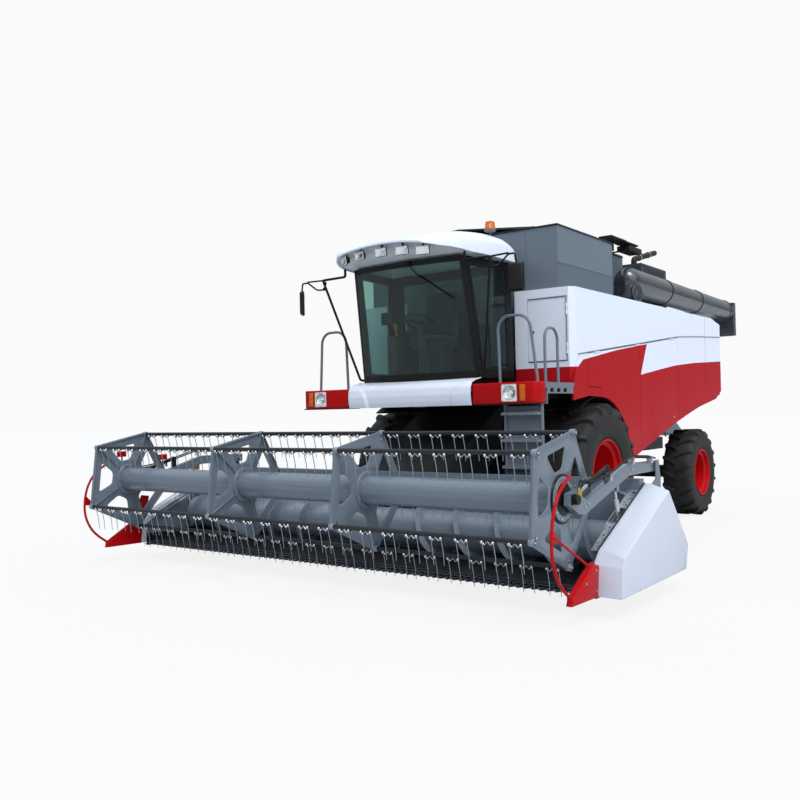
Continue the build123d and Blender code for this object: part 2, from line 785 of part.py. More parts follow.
def cab_level(rear, corner, bulge, z):
    """Plan of the cab at one height: straight sides, and a front that bows forward."""
    with BuildSketch(Plane.XY.offset(z)) as level:
        with BuildLine():
            rear_left, rear_right = (rear[0], rear[1]), (-rear[0], rear[1])
            Polyline((-corner[0], corner[1]), rear_right, rear_left, (corner[0], corner[1]))
            if bulge:
                ThreePointArc((corner[0], corner[1]), (0, corner[1] - bulge), (-corner[0], corner[1]))
            else:
                Line((corner[0], corner[1]), (-corner[0], corner[1]))
        make_face()
    return level.sketch


def cab_block(inset, bulge, z_low, z_high, mode=Mode.ADD):
    """The cab's outer form, shrunk at its sides."""
    low_corner = (corner_low[0] - inset, cab_front_y)
    high_corner = (corner_high[0] - inset, cab_front_top_y)
    low = cab_level((side_low[0] - inset, cab_rear_y), low_corner, bulge, z_low)
    high = cab_level((side_high[0] - inset, cab_rear_y), high_corner, bulge, z_high)
    loft([low, high], ruled=True, mode=mode)


def pillar_y(z):
    """Front edge of the side opening, which leans with the pillar."""
    share = (z - cab_sill_z) / (cab_lintel_z - cab_sill_z)
    return cab_front_y + 90 + share * (cab_front_top_y + 95 - cab_front_y - 90)


def side_outline(gap):
    """Side view of the cab's side opening, made smaller all round by a gap."""
    low, high = cab_sill_z + gap, cab_lintel_z - gap
    rear = cab_rear_y - 70 - gap
    return [(pillar_y(low) + gap, low), (rear, low), (rear, high), (pillar_y(high) + gap, high)]


def front_outline(gap):
    """Front view of the windshield opening, made smaller all round by a gap."""
    low, high = cab_sill_z + gap, cab_lintel_z - gap
    half, top_half = cab_front_half - 30 - gap, cab_front_top_half - 30 - gap
    return [(-half, low), (half, low), (top_half, high), (-top_half, high)]


def cab_side_x(y, z):
    """Distance of the cab's side from the middle at a place."""
    share = (z - cab_floor_z) / (cab_roof_z - cab_floor_z)
    corner_x = cab_front_half + share * (cab_front_top_half - cab_front_half)
    corner_y = cab_front_y + share * (cab_front_top_y - cab_front_y)
    rear_x = cab_half + share * (cab_top_half - cab_half)
    return corner_x + (y - corner_y) / (cab_rear_y - corner_y) * (rear_x - corner_x)


door_edge = []
door_pin_inset = 1
for z in (cab_sill_z + door_gap, cab_lintel_z - door_gap):
    edge_y = pillar_y(z) + door_gap + door_pin_inset
    door_edge.append((cab_side_x(edge_y, z), edge_y, z))
door_hinges = (0.15, 0.85)
door_border = 40
rear_window_half = 700
rear_window_z = (cab_floor_z + 700, cab_lintel_z - 60)
with BuildPart() as cab_frame:
    cab_block(0, windshield_bulge, cab_floor_z, cab_roof_z)
    # room inside, open at the roof
    room_low = (cab_front_half - pillar, cab_front_y + glass)
    room_high = (cab_front_top_half - pillar, cab_front_top_y + glass)
    room_rear_y = cab_rear_y - pillar
    low = cab_level((cab_half - pillar, room_rear_y), room_low, windshield_bulge, cab_floor_z + 70)
    high = cab_level((cab_top_half - pillar, room_rear_y), room_high, windshield_bulge, cab_roof_z + 1)
    loft([low, high], ruled=True, mode=Mode.SUBTRACT)
    plate_y(front_outline(0), cab_front_top_y - 200, cab_front_y + 90, Mode.SUBTRACT)
    plate_x(side_outline(0), 0, cab_half + 50, Mode.SUBTRACT)
    plate_x(side_outline(door_gap + door_border), -cab_half - 50, 0, Mode.SUBTRACT)
    rear_low = (-rear_window_half, cab_rear_y - 100, rear_window_z[0])
    block(rear_low, (rear_window_half, cab_rear_y + 10, rear_window_z[1]), Mode.SUBTRACT)
    # posts and cross beams under the floor
    for side in (-1, 1):
        side_block(side, (620, 700), (cab_front_y + 200, cab_rear_y - 60), (2000, cab_floor_z))
    block((-core_half, cab_rear_y - 120, 2000), (core_half, -700 - seat, 2100))
    block((-620, cab_rear_y - 120, 2000), (620, cab_rear_y - 60, cab_floor_z))
    add_lugs(door_edge, door_hinges)
pieces["cab_frame"] = cab_frame

# Cab glass: windshield, right side pane and rear window
with BuildPart() as windshield:
    cab_block(0, windshield_bulge, cab_floor_z, cab_roof_z)
    low = cab_level(side_low, (corner_low[0], cab_front_y + glass), windshield_bulge, cab_floor_z - 1)
    high = cab_level(side_high, (corner_high[0], cab_front_top_y + glass), windshield_bulge, cab_roof_z + 1)
    loft([low, high], ruled=True, mode=Mode.SUBTRACT)
    plate_y(front_outline(seat), cab_front_top_y - 370, cab_front_y + 60, Mode.INTERSECT)
pane_inset = 10
side_panes = {}
for name, side in (("left", 1), ("right", -1)):
    with BuildPart() as pane:
        cab_block(pane_inset, 0, cab_floor_z, cab_roof_z)
        cab_block(pane_inset + glass, 0, cab_floor_z - 1, cab_roof_z + 1, Mode.SUBTRACT)
        side_plate(side, side_outline(door_gap + door_border + seat), 0, 1100, Mode.INTERSECT)
    side_panes[name] = pane
with BuildPart() as cab_glass:
    add(windshield.part)
    add(side_panes["right"].part)
    window_low = (seat - rear_window_half, cab_rear_y - 30, rear_window_z[0] + seat)
    block(window_low, (rear_window_half - seat, cab_rear_y - 30 + glass, rear_window_z[1] - seat))
pieces["cab_glass"] = cab_glass

# Cab door on the left: a frame with its pane, hinged on the front pillar
with BuildPart() as cab_door_frame:
    cab_block(0, 0, cab_floor_z, cab_roof_z)
    cab_block(door_wall, 0, cab_floor_z - 1, cab_roof_z + 1, Mode.SUBTRACT)
    plate_x(side_outline(door_gap), 0, 1100, Mode.INTERSECT)
    plate_x(side_outline(door_gap + door_border), 0, 1100, Mode.SUBTRACT)
    add_pins(door_edge, door_hinges)
pieces["cab_door_frame"] = cab_door_frame
pieces["cab_door_glass"] = side_panes["left"]

# Roof: a white cap with a brow over the windshield
brow_z = 3660
roof_side = (
    (-2400, brow_z),
    (-2430, 3700),
    (-2330, 3800),
    (-1900, 3885),
    (-1400, 3900),
    (-1000, 3860),
    (-900, 3760),
    (-900, cab_roof_z + seat),
    (-1900, cab_roof_z + seat),
    (-2260, brow_z),
)
roof_left = ((640, -2440), (940, -2080), (1000, -1700), (1000, -890))
roof_plan = [(x, y) for x, y in roof_left] + [(-x, y) for x, y in roof_left[::-1]]
with BuildPart() as cab_roof:
    plate_x(roof_side, -1000, 1000)
    plate_z(roof_plan, cab_roof_z, 3950, Mode.INTERSECT)
pieces["cab_roof"] = cab_roof

# Fascia: a curved apron under the windshield between the lamp boxes of the front corners
fascia_front_y = -1945
fascia_rear_y = -1720
apron_half = 915
apron_outline = (
    (-1950, 1846),
    (-1965, 1960),
    (-1950, 2085),
    (-1790, 2150),
    (-1720, 2165),
    (-1720, 2150),
    (-1785, 2135),
    (-1935, 2075),
    (-1950, 1960),
    (-1935, 1846),
)
lamp_box_z = (1850, 2090)
box_plan = (
    (925, fascia_front_y),
    (1620, fascia_front_y),
    (1720, -1900),
    (1750, -1800),
    (1750, fascia_rear_y),
    (925, fascia_rear_y),
)
with BuildPart() as front_fascia:
    plate_x(apron_outline, -apron_half, apron_half)
    for side in (-1, 1):
        side_block(side, (620, 700), (fascia_front_y, cab_front_y + 200 - seat), (2010, 2060))
        plate_z([(side * x, y) for x, y in box_plan], *lamp_box_z)
pieces["front_fascia"] = front_fascia

# Lamps: work lamps under the brow, head lamps and turn lamps, and the beacon on the roof
head_lamp_x = (1310, 1510)
turn_lamp_x = (1545, 1610)
lamp_depth = 12
beacon_place = (880, -1380)
with BuildPart() as lamps:
    for x in (-600, -330, 0, 300, 570):
        block((x - 85, -2402, 3550), (x + 85, -2342, 3650))
        block((x - 20, -2350, 3600), (x + 20, -2320, brow_z - seat))
    for side in (-1, 1):
        for x_pair in (head_lamp_x, turn_lamp_x):
            lamp_y = (fascia_front_y - lamp_depth, fascia_front_y - seat)
            side_block(side, x_pair, lamp_y, (lamp_box_z[0] + 20, lamp_box_z[1] - 20))
    # beacon: radius, low z, high z
    for radius, z_low, z_high in ((14, 3900 + seat, 3930), (72, 3925, 3960), (55, 3960, 4060)):
        rod((*beacon_place, z_low), (*beacon_place, z_high), radius)
pieces["lamps"] = lamps

# Driver's place: seat, side console, steering column and wheel
cab_mat_z = cab_floor_z + 70 + seat
with BuildPart() as driver_place:
    block((-250, -1420, 2620), (250, -1140, 2720))
    seat_back = ((-1530, 2620), (-1140, 2620), (-1100, 3300), (-1200, 3320), (-1240, 2740), (-1530, 2730))
    plate_x(seat_back, -250, 250)
    block((-180, -1400, cab_mat_z), (180, -1160, 2620))
    block((-60, -1610, cab_mat_z), (60, -1510, 2300))
    rod((0, -1560, 2280), (0, -1650, 2890), 45)
    with BuildSketch(Plane(origin=(0, -1640, 2880), x_dir=(1, 0, 0), z_dir=(0, 0.5, 0.866))) as hoop:
        Circle(205)
        Circle(178, mode=Mode.SUBTRACT)
        Rectangle(370, 30)
        Circle(50)
    extrude(hoop.sketch, amount=24)
    block((-560, -1600, cab_mat_z), (-400, -1150, 2780))
pieces["driver_place"] = driver_place

# Platforms beside the cab with their kick plates, and the bracket and pin that carry the ladder
platform_z = (2050, 2090)
platform_out_x = 1660
ladder_x = (1270, 1730)
ladder_y = -1790
ladder_top_z = 1840
ladder_low_z = 480
ladder_rail_r = 20
ladder_pin_r = 11
with BuildPart() as platform:
    front_y = fascia_rear_y + seat
    for side in (-1, 1):
        side_block(side, (cab_half + 10, platform_out_x), (front_y, fender_front_y - seat), platform_z)
        side_block(side, (cab_half + 10, platform_out_x), (front_y, front_y + 60), (1960, platform_z[0]))
        kick_y = (front_y, fender_front_y - 30)
        side_block(side, (platform_out_x - 12, platform_out_x), kick_y, (1960, platform_z[0]))
        with Locations(*[(side * (platform_out_x - 6), -1560 + 170 * i, 2000) for i in range(4)]):
            Box(30, 90, 45, mode=Mode.SUBTRACT)
        side_block(side, (700 + seat, cab_half + 10), (-1400, -1300), (1940, 2000))
        side_block(side, (880, cab_half + 10), (-1400, -1300), (1960, platform_z[1]))
    bracket_z = (ladder_top_z + 2, ladder_top_z + 8)
    block((1660, ladder_y - 40, bracket_z[0]), (1760, front_y + 20, bracket_z[1]))
    block((1600, front_y, bracket_z[0]), (1760, front_y + 20, 1980))
    rod((ladder_x[1], ladder_y, ladder_top_z - 90), (ladder_x[1], ladder_y, bracket_z[1]), ladder_pin_r)
pieces["platform"] = platform

# Ladder: two rails, a back plate and steps, swinging about its outer rail
step_pitch = 300
step_depth = 110
with BuildPart() as ladder:
    for x in ladder_x:
        rod((x, ladder_y, ladder_low_z), (x, ladder_y, ladder_top_z), ladder_rail_r)
    back_low = (ladder_x[0], ladder_y + 10, ladder_low_z + 60)
    block(back_low, (ladder_x[1], ladder_y + 16, ladder_top_z - 20))
    for i in range(5):
        z = ladder_low_z + 40 + step_pitch * i
        block((ladder_x[0], ladder_y - step_depth, z), (ladder_x[1], ladder_y + 12, z + 30))
    pin_low = (ladder_x[1], ladder_y, ladder_top_z - 92)
    rod(pin_low, (ladder_x[1], ladder_y, ladder_top_z + 1), ladder_pin_r + run_fit, Mode.SUBTRACT)
pieces["ladder"] = ladder

# Handrails
rail_r = 17
rail_z = platform_z[1] + seat
rail_foot_y = -1690
# upright start of each front rail, so that its foot stands flat
rail_foot = 50
# the front rails lean forward at the top, so that the open cab door clears them
rail_top_y = -1722
with BuildPart() as handrails:
    for side in (-1, 1):
        foot_in, foot_out = (side * 1150, rail_foot_y, rail_z), (side * 1630, rail_foot_y, rail_z)
        knee_in, knee_out = [(x, y, z + rail_foot) for x, y, z in (foot_in, foot_out)]
        top_in, top_out = (side * 1150, rail_top_y, 2860), (side * 1560, rail_top_y, 2860)
        pipe((foot_in, knee_in, top_in, top_out, knee_out, foot_out), rail_r, 160)
    hoop_z = 2720
    side_hoop = (
        (1635, -1500, rail_z),
        (1635, -1500, hoop_z),
        (1635, -1180, hoop_z),
        (1635, -1180, rail_z),
    )
    pipe(side_hoop, rail_r, 140)
pieces["handrails"] = handrails

# Mirrors on bent tube frames beside the front pillars
with BuildPart() as mirrors:
    for side in (-1, 1):
        frame_points = (
            (864.6, -1690, 2200),
            (940, -1690, 2210),
            (1255, -2030, 3510),
            (900, -2000, 3520),
            (900, -2000, 3614),
        )
        branch_points = ((1233, -2006, 3419), (1560, -2060, 3430), (1600, -2060, 3390))
        pipe([(side * x, y, z) for x, y, z in frame_points], 16, 50)
        pipe([(side * x, y, z) for x, y, z in branch_points], 12, 20)
        side_block(side, (1500, 1690), (-2090, -2030), (3080, 3400))
pieces["mirrors"] = mirrors

pan_low_z = auger_z - trough_r - pan_wall

# Feeder house from the hinge down to the header's back, with the lugs of the lift cylinders
feeder_front_y = header_back_y + header_beam + seat
feeder_under = (feeder_hinge_y - 100, feeder_hinge_z - 340)
feeder_front_z = (330, 960)
feeder_outline = (
    (feeder_hinge_y - 60, feeder_hinge_z + 255),
    (feeder_hinge_y + 200, feeder_hinge_z + 150),
    (feeder_hinge_y + 250, feeder_hinge_z),
    (feeder_hinge_y + 200, feeder_hinge_z - 150),
    feeder_under,
    (feeder_front_y, feeder_front_z[0]),
    (feeder_front_y, feeder_front_z[1]),
)
lug_outline = [(lift_eye[0] + y, lift_eye[1] + z) for y, z in ((-75, 50), (-40, -42), (40, -42), (75, 150))]
with BuildPart() as feeder_house:
    plate_x(feeder_outline, -feeder_half, feeder_half)
    face_half = feeder_half + 40
    face_low = (-face_half, feeder_front_y, pan_low_z + 30)
    block(face_low, (face_half, feeder_front_y + 60, header_top_z - 40))
    pin_half = feeder_half + ear_gap + ear_wall + 20
    cross_rod((-pin_half, pin_half), (feeder_hinge_y, feeder_hinge_z), feeder_pin_r)
    for side in (-1, 1):
        for lug_low_x in (lift_x - lift_rod_r - 28, lift_x + lift_rod_r + 8):
            side_plate(side, lug_outline, lug_low_x, lug_low_x + 20)
        cross_rod((side * (lift_x - 50), side * (lift_x + 50)), lift_eye, lift_pin_r)
pieces["feeder_house"] = feeder_house

# Header: floor with its trough, back wall, beams and end walls
end_wall = (
    (knife_y - 30, 150),
    (knife_y - 30, 430),
    (-3400, 470),
    (-1990, 1065),
    (arm_pivot_y - 40, arm_pivot_z + 60),
    (arm_pivot_y + 50, arm_pivot_z + 60),
    (-1860, 1065),
    (-1860, 960),
    (header_back_y + header_beam, 400),
    (header_back_y + header_beam, 150),
)
trough_mid = radians(-45)
with BuildPart() as header_frame:
    with BuildSketch(Plane.YZ.offset(-header_half)) as pan:
        with BuildLine():
            Polyline(
                (auger_y, auger_z - trough_r),
                (knife_y, knife_z + 4),
                (knife_y, knife_z - 2),
                (auger_y, pan_low_z),
                (header_back_y + pan_wall, pan_low_z),
                (header_back_y + pan_wall, header_top_z - header_beam / 2),
                (header_back_y, header_top_z - header_beam / 2),
                (auger_y + trough_r, auger_z),
            )
            trough_bottom = (auger_y + trough_r * cos(trough_mid), auger_z + trough_r * sin(trough_mid))
            ThreePointArc((auger_y + trough_r, auger_z), trough_bottom, (auger_y, auger_z - trough_r))
        make_face()
    extrude(pan.sketch, amount=2 * header_half)
    for beam_z in (header_top_z - header_beam, pan_low_z):
        beam_low = (-header_half, header_back_y, beam_z)
        block(beam_low, (header_half, header_back_y + header_beam, beam_z + header_beam))
    for x in (-2400, -1700, -1000, 1000, 1700, 2400):
        post_low = (x - 30, header_back_y, pan_low_z + pan_wall)
        block(post_low, (x + 30, header_back_y + 70, header_top_z - header_beam / 2))
    mouth_low = (40 - feeder_half, auger_y + 100, 340)
    block(mouth_low, (feeder_half - 40, header_back_y + header_beam + 10, 940), Mode.SUBTRACT)
    for side in (-1, 1):
        side_plate(side, end_wall, header_half, header_half + header_wall)
        wall_x = header_half + header_wall
        cross_rod((side * (arm_low_x - 15), side * wall_x), (arm_pivot_y, arm_pivot_z), arm_pin_r)
        foot_pin = (side * (reel_lift_x - reel_barrel_r - 5), side * (header_half + 2))
        cross_rod(foot_pin, reel_lift_foot, reel_pin_r)
        bore_x = (side * (header_half - 20), side * (wall_x + 20))
        cross_rod(bore_x, (auger_y, auger_z), auger_shaft_r + run_fit, Mode.SUBTRACT)
pieces["header_frame"] = header_frame

# Cutter bar: a comb of guards along the floor's front edge
guard_root_y = knife_y - 30
guard_tip_y = knife_y - 130
with BuildPart() as cutter_bar:
    guards = int(2 * (header_half - 40) / guard_pitch)
    comb = []
    for i in range(guards):
        x = (i - (guards - 1) / 2) * guard_pitch
        comb += [(x - 16, guard_root_y), (x - 5, guard_tip_y), (x + 5, guard_tip_y), (x + 16, guard_root_y)]
    bar_end = header_half - seat
    back_edge = [(-bar_end, knife_y - seat), (-bar_end, guard_root_y)]
    end_edge = [(bar_end, guard_root_y), (bar_end, knife_y - seat)]
    plate_z(back_edge + comb + end_edge, knife_z - 10, knife_z + 6)
pieces["cutter_bar"] = cutter_bar

# End shrouds over the drives: a deep bevelled cover on the left, a shallow one on the right
shroud_in_x = header_half + header_wall + seat
shroud_front = ((-3560, 190), (-3530, 450), (-3410, 560))
shroud_side = shroud_front + ((-2300, 1045), (-2030, 1020), (-1880, 900), (-1960, 190))
bevel_near = shroud_front + ((-2300, 1045), (-1880, 900), (-1960, 190))
bevel_far = ((-3575, 190), (-3530, 440), (-3505, 520), (-2400, 995), (-1900, 425), (-1970, 190))
with BuildPart() as shrouds:
    levels = []
    for outline, x in ((bevel_near, shroud_in_x), (bevel_near, shroud_x), (bevel_far, shroud_out_x)):
        with BuildSketch(Plane.YZ.offset(x)) as level:
            with BuildLine():
                Polyline(*outline, close=True)
            make_face()
        levels.append(level.sketch)
    loft(levels, ruled=True)
    plate_x(shroud_side, -shroud_in_x - 110, -shroud_in_x)
pieces["shrouds"] = shrouds

# Crop dividers with their bows, in front of the end shrouds
nose_outline = [(y - seat, z) for y, z in shroud_front[:2]] + [(-3640, 480), (-4020, 275), (-4060, 200)]
with BuildPart() as dividers:
    for side in (-1, 1):
        side_plate(side, nose_outline, shroud_in_x, shroud_x - seat)
        x = side * hoop_x
        with BuildLine() as bow:
            ThreePointArc((x, -4010, 250), (x, -4345, 780), (x, -3980, 1240))
        with BuildSketch(Plane(origin=bow.line @ 0, z_dir=bow.line % 0)) as section:
            Circle(14)
        sweep(section.sketch, path=bow.line)
        rod((x, -4330, 800), (x, -3660, 455), 11)
pieces["dividers"] = dividers

# Header auger: drum on a shaft, retracting fingers in the middle, flights that feed inwards
finger_pitch = 90
flight_turns = 4.6
flight_steps = 12
flight_wall = 8
with BuildPart() as header_auger:
    axis_place = (auger_y, auger_z)
    cross_rod((-auger_drum_half, auger_drum_half), axis_place, auger_drum_r)
    shaft_end = header_half + header_wall
    cross_rod((-shaft_end, shaft_end), axis_place, auger_shaft_r)
    for i in range(12):
        turn = 2 * pi * i / 3
        x = finger_pitch * (i - 5.5)
        ends = []
        for r in (auger_drum_r - 50, auger_flight_r - 5):
            ends.append((x, auger_y + r * cos(turn), auger_z + r * sin(turn)))
        rod(*ends, 8)
    for side in (-1, 1):
        sections = []
        for i in range(int(flight_turns * flight_steps) + 1):
            turn = 2 * pi * i / flight_steps
            out = Vector(0, cos(turn), sin(turn))
            x = side * (620 + auger_pitch * i / flight_steps)
            flight_height = auger_flight_r - auger_drum_r + 20
            middle = Vector(x, auger_y, auger_z) + out * (auger_flight_r - flight_height / 2)
            with BuildSketch(Plane(origin=middle, x_dir=out, z_dir=Vector(1, 0, 0).cross(out))) as cut:
                Rectangle(flight_height, flight_wall)
            sections.append(cut.sketch)
        loft(sections, ruled=True)
pieces["header_auger"] = header_auger

# Reel arms: bent boxes from the end walls forward to the reel's shaft, with the cylinders' lugs
arm_outline = (
    (-1880, 1240),
    (-2620, 1250),
    (-3560, 1000),
    (-3760, 1095),
    (-3880, 1085),
    (-3890, 985),
    (-3720, 900),
    (-3600, 880),
    (-2620, 1140),
    (-1880, 1140),
)
lug_corners = ((-30, 60), (-22, -16), (22, -16), (30, 60))
arm_lug = [(reel_lift_eye[0] + y, reel_lift_eye[1] + z) for y, z in lug_corners]
with BuildPart() as reel_arms:
    for side in (-1, 1):
        side_plate(side, arm_outline, arm_low_x, arm_high_x)
        side_plate(side, arm_lug, arm_low_x, arm_low_x + 8)
        side_plate(side, arm_lug, arm_high_x - 8, arm_high_x)
        cross_rod((side * arm_low_x, side * arm_high_x), reel_lift_eye, reel_pin_r)
    arm_span = (-arm_high_x - 20, arm_high_x + 20)
    cross_rod(arm_span, (reel_y, reel_z), reel_shaft_r + run_fit, Mode.SUBTRACT)
    cross_rod(arm_span, (arm_pivot_y, arm_pivot_z), arm_pin_r + run_fit, Mode.SUBTRACT)
pieces["reel_arms"] = reel_arms

# Reel: tube, shaft and four stars, each a five-cornered plate with windows between its spokes
reel_angles = [radians(reel_phase - 36 + 72 * i) for i in range(reel_bars_count)]


def reel_place(angle, radius):
    """Place round the reel's axis, turned up from straight ahead."""
    return (reel_y - radius * cos(angle), reel_z + radius * sin(angle))


star_outer = reel_r + 34
star_rim = 46
window_low_r = reel_ring_r + 60
# window corners: turn from the spoke in degrees, and whether the corner lies at the rim or at the ring
window_turns = ((20, False), (13, True), (59, True), (52, False))
bar_boss_r = bar_r + 14
with BuildPart() as reel:
    cross_rod((star_x[0], star_x[-1]), (reel_y, reel_z), reel_tube_r)
    cross_rod((-arm_high_x - 12, arm_high_x + 12), (reel_y, reel_z), reel_shaft_r)
    for x in star_x:
        plate_x([reel_place(a, star_outer) for a in reel_angles], x - star_wall / 2, x + star_wall / 2)
        for a in reel_angles:
            window = []
            for turn, at_rim in window_turns:
                rim_r = (reel_r - 2 * star_rim) * cos(radians(36)) / cos(radians(turn - 36))
                window.append(reel_place(a + radians(turn), rim_r if at_rim else window_low_r))
            plate_x(window, x - star_wall, x + star_wall, Mode.SUBTRACT)
        cross_rod((x - 26, x + 26), (reel_y, reel_z), reel_ring_r)
    bar_places = [reel_place(a, reel_r) for a in reel_angles]
    for place in bar_places:
        for x in star_x:
            cross_rod((x - 22, x + 22), place, bar_boss_r)
    for place in bar_places:
        cross_rod((-bar_half - 50, bar_half + 50), place, bar_r + run_fit, Mode.SUBTRACT)
pieces["reel"] = reel

# Reel bars, each with its row of sprung tines that always hang down
for i, (y, z) in enumerate(bar_places):
    tine_x = [(k - (tines_per_bar - 1) / 2) * tine_pitch for k in range(tines_per_bar)]
    with BuildPart() as reel_bar:
        cross_rod((-bar_half, bar_half), (y, z), bar_r)
        with Locations(*[(x, y, z - (bar_r + tine_length) / 2) for x in tine_x]):
            Box(tine_wall, tine_wall, tine_length)
    pieces[f"reel_bar_{i + 1}"] = reel_bar


def build_cylinder(xs, foot, eye, barrel_r, rod_r, pin_r, share, eye_loose):
    """Barrels that turn on their feet and rams whose eyes lie round their pins."""
    run = (eye[0] - foot[0], eye[1] - foot[1])
    length = hypot(*run)
    way = (run[0] / length, run[1] / length)

    def along(x, distance):
        return (x, foot[0] + way[0] * distance, foot[1] + way[1] * distance)

    eye_r = pin_r + eye_loose + rod_r / 2
    with BuildPart() as barrel:
        for x in xs:
            cross_rod((x - barrel_r, x + barrel_r), foot, barrel_r)
            rod(along(x, barrel_r * 0.8), along(x, share * length), barrel_r)
        for x in xs:
            rod(along(x, barrel_r * 1.2), along(x, share * length + 10), rod_r + run_fit, Mode.SUBTRACT)
            cross_rod((x - barrel_r - 5, x + barrel_r + 5), foot, pin_r + run_fit, Mode.SUBTRACT)
    with BuildPart() as ram:
        for x in xs:
            rod(along(x, barrel_r * 1.4), along(x, length - eye_r + 3), rod_r)
            cross_rod((x - rod_r, x + rod_r), eye, eye_r)
        for x in xs:
            cross_rod((x - rod_r - 5, x + rod_r + 5), eye, pin_r + eye_loose, Mode.SUBTRACT)
    return barrel, ram


lift_barrels, lift_rams = build_cylinder(
    (-lift_x, lift_x), lift_foot, lift_eye, lift_barrel_r, lift_rod_r, lift_pin_r, 0.62, 9
)
pieces["lift_barrels"] = lift_barrels
pieces["lift_rams"] = lift_rams
reel_barrels, reel_rams = build_cylinder(
    (-reel_lift_x, reel_lift_x), reel_lift_foot, reel_lift_eye,
    reel_barrel_r, reel_rod_r, reel_pin_r, 0.78, 6
)
pieces["reel_barrels"] = reel_barrels
pieces["reel_rams"] = reel_rams

os.makedirs("parts", exist_ok=True)
for label, piece in pieces.items():
    piece.part.label = label
    export_step(piece.part, f"parts/{label}.step")
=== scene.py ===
import bpy
from math import cos, pi, radians, sin, sqrt
from mathutils import Matrix, Vector


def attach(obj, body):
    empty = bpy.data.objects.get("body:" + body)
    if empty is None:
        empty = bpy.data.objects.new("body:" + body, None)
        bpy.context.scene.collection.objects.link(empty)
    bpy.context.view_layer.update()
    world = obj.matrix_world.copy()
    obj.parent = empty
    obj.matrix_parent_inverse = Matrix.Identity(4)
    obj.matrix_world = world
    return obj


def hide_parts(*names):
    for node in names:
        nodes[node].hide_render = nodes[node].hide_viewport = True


# Combine harvester with a reel header, in metres. The machine faces -Y and +X is its own left.
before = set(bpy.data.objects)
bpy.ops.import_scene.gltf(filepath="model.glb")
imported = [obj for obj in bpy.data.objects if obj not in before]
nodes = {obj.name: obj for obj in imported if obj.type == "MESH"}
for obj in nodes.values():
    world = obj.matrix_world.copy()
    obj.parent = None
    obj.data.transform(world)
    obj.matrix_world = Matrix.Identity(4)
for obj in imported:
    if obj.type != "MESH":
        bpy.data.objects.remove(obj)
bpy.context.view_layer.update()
BOTH = (("left", 1), ("right", -1))
ACROSS = Vector((1, 0, 0))


# Camera, floor and light

def place_camera():
    """Camera low in front of the left end of the header, where the photograph was taken from."""
    yaw, pitch, roll = radians(36.782), radians(0.792), radians(1.276)
    photo_width, focal_pixels, sensor = 800, 858.35, 36
    ahead = Vector((-sin(yaw) * cos(pitch), cos(yaw) * cos(pitch), sin(pitch)))
    level = Vector((cos(yaw), sin(yaw), 0))
    down = ahead.cross(level)
    right = cos(roll) * level + sin(roll) * down
    up = sin(roll) * level - cos(roll) * down
    bpy.ops.object.camera_add()
    camera = bpy.context.object
    turned = Matrix((right, up, -ahead)).transposed().to_4x4()
    camera.matrix_world = Matrix.Translation((6.167, -10.347, 1.786)) @ turned
    camera.data.sensor_width = sensor
    camera.data.lens = focal_pixels * sensor / photo_width
    camera.data.clip_end = 400
    bpy.context.scene.camera = camera


def linear(code):
    """sRGB hex colour as linear light, the way sockets take it."""
    values = [int(code[i:i + 2], 16) / 255 for i in (1, 3, 5)]
    return [v / 12.92 if v <= 0.04045 else ((v + 0.055) / 1.055) ** 2.4 for v in values] + [1]


def add_node(tree, kind, sockets=None, **settings):
    """Adds a node with its settings, and gives its sockets values or links."""
    node = tree.nodes.new(kind)
    for key, value in settings.items():
        setattr(node, key, value)
    for key, value in (sockets or {}).items():
        if isinstance(value, bpy.types.NodeSocket):
            tree.links.new(value, node.inputs[key])
        else:
            node.inputs[key].default_value = value
    return node


def seen_directly(tree):
    """1 where the camera sees a surface, also through glass, and 0 for its light on others."""
    path = add_node(tree, "ShaderNodeLightPath")
    rays = {0: path.outputs["Is Camera Ray"], 1: path.outputs["Is Transmission Ray"]}
    return add_node(tree, "ShaderNodeMath", rays, operation="MAXIMUM").outputs[0]


def bare_nodes(owner):
    """Node tree of a world or material with nothing in it."""
    owner.use_nodes = True
    owner.node_tree.nodes.clear()
    return owner.node_tree


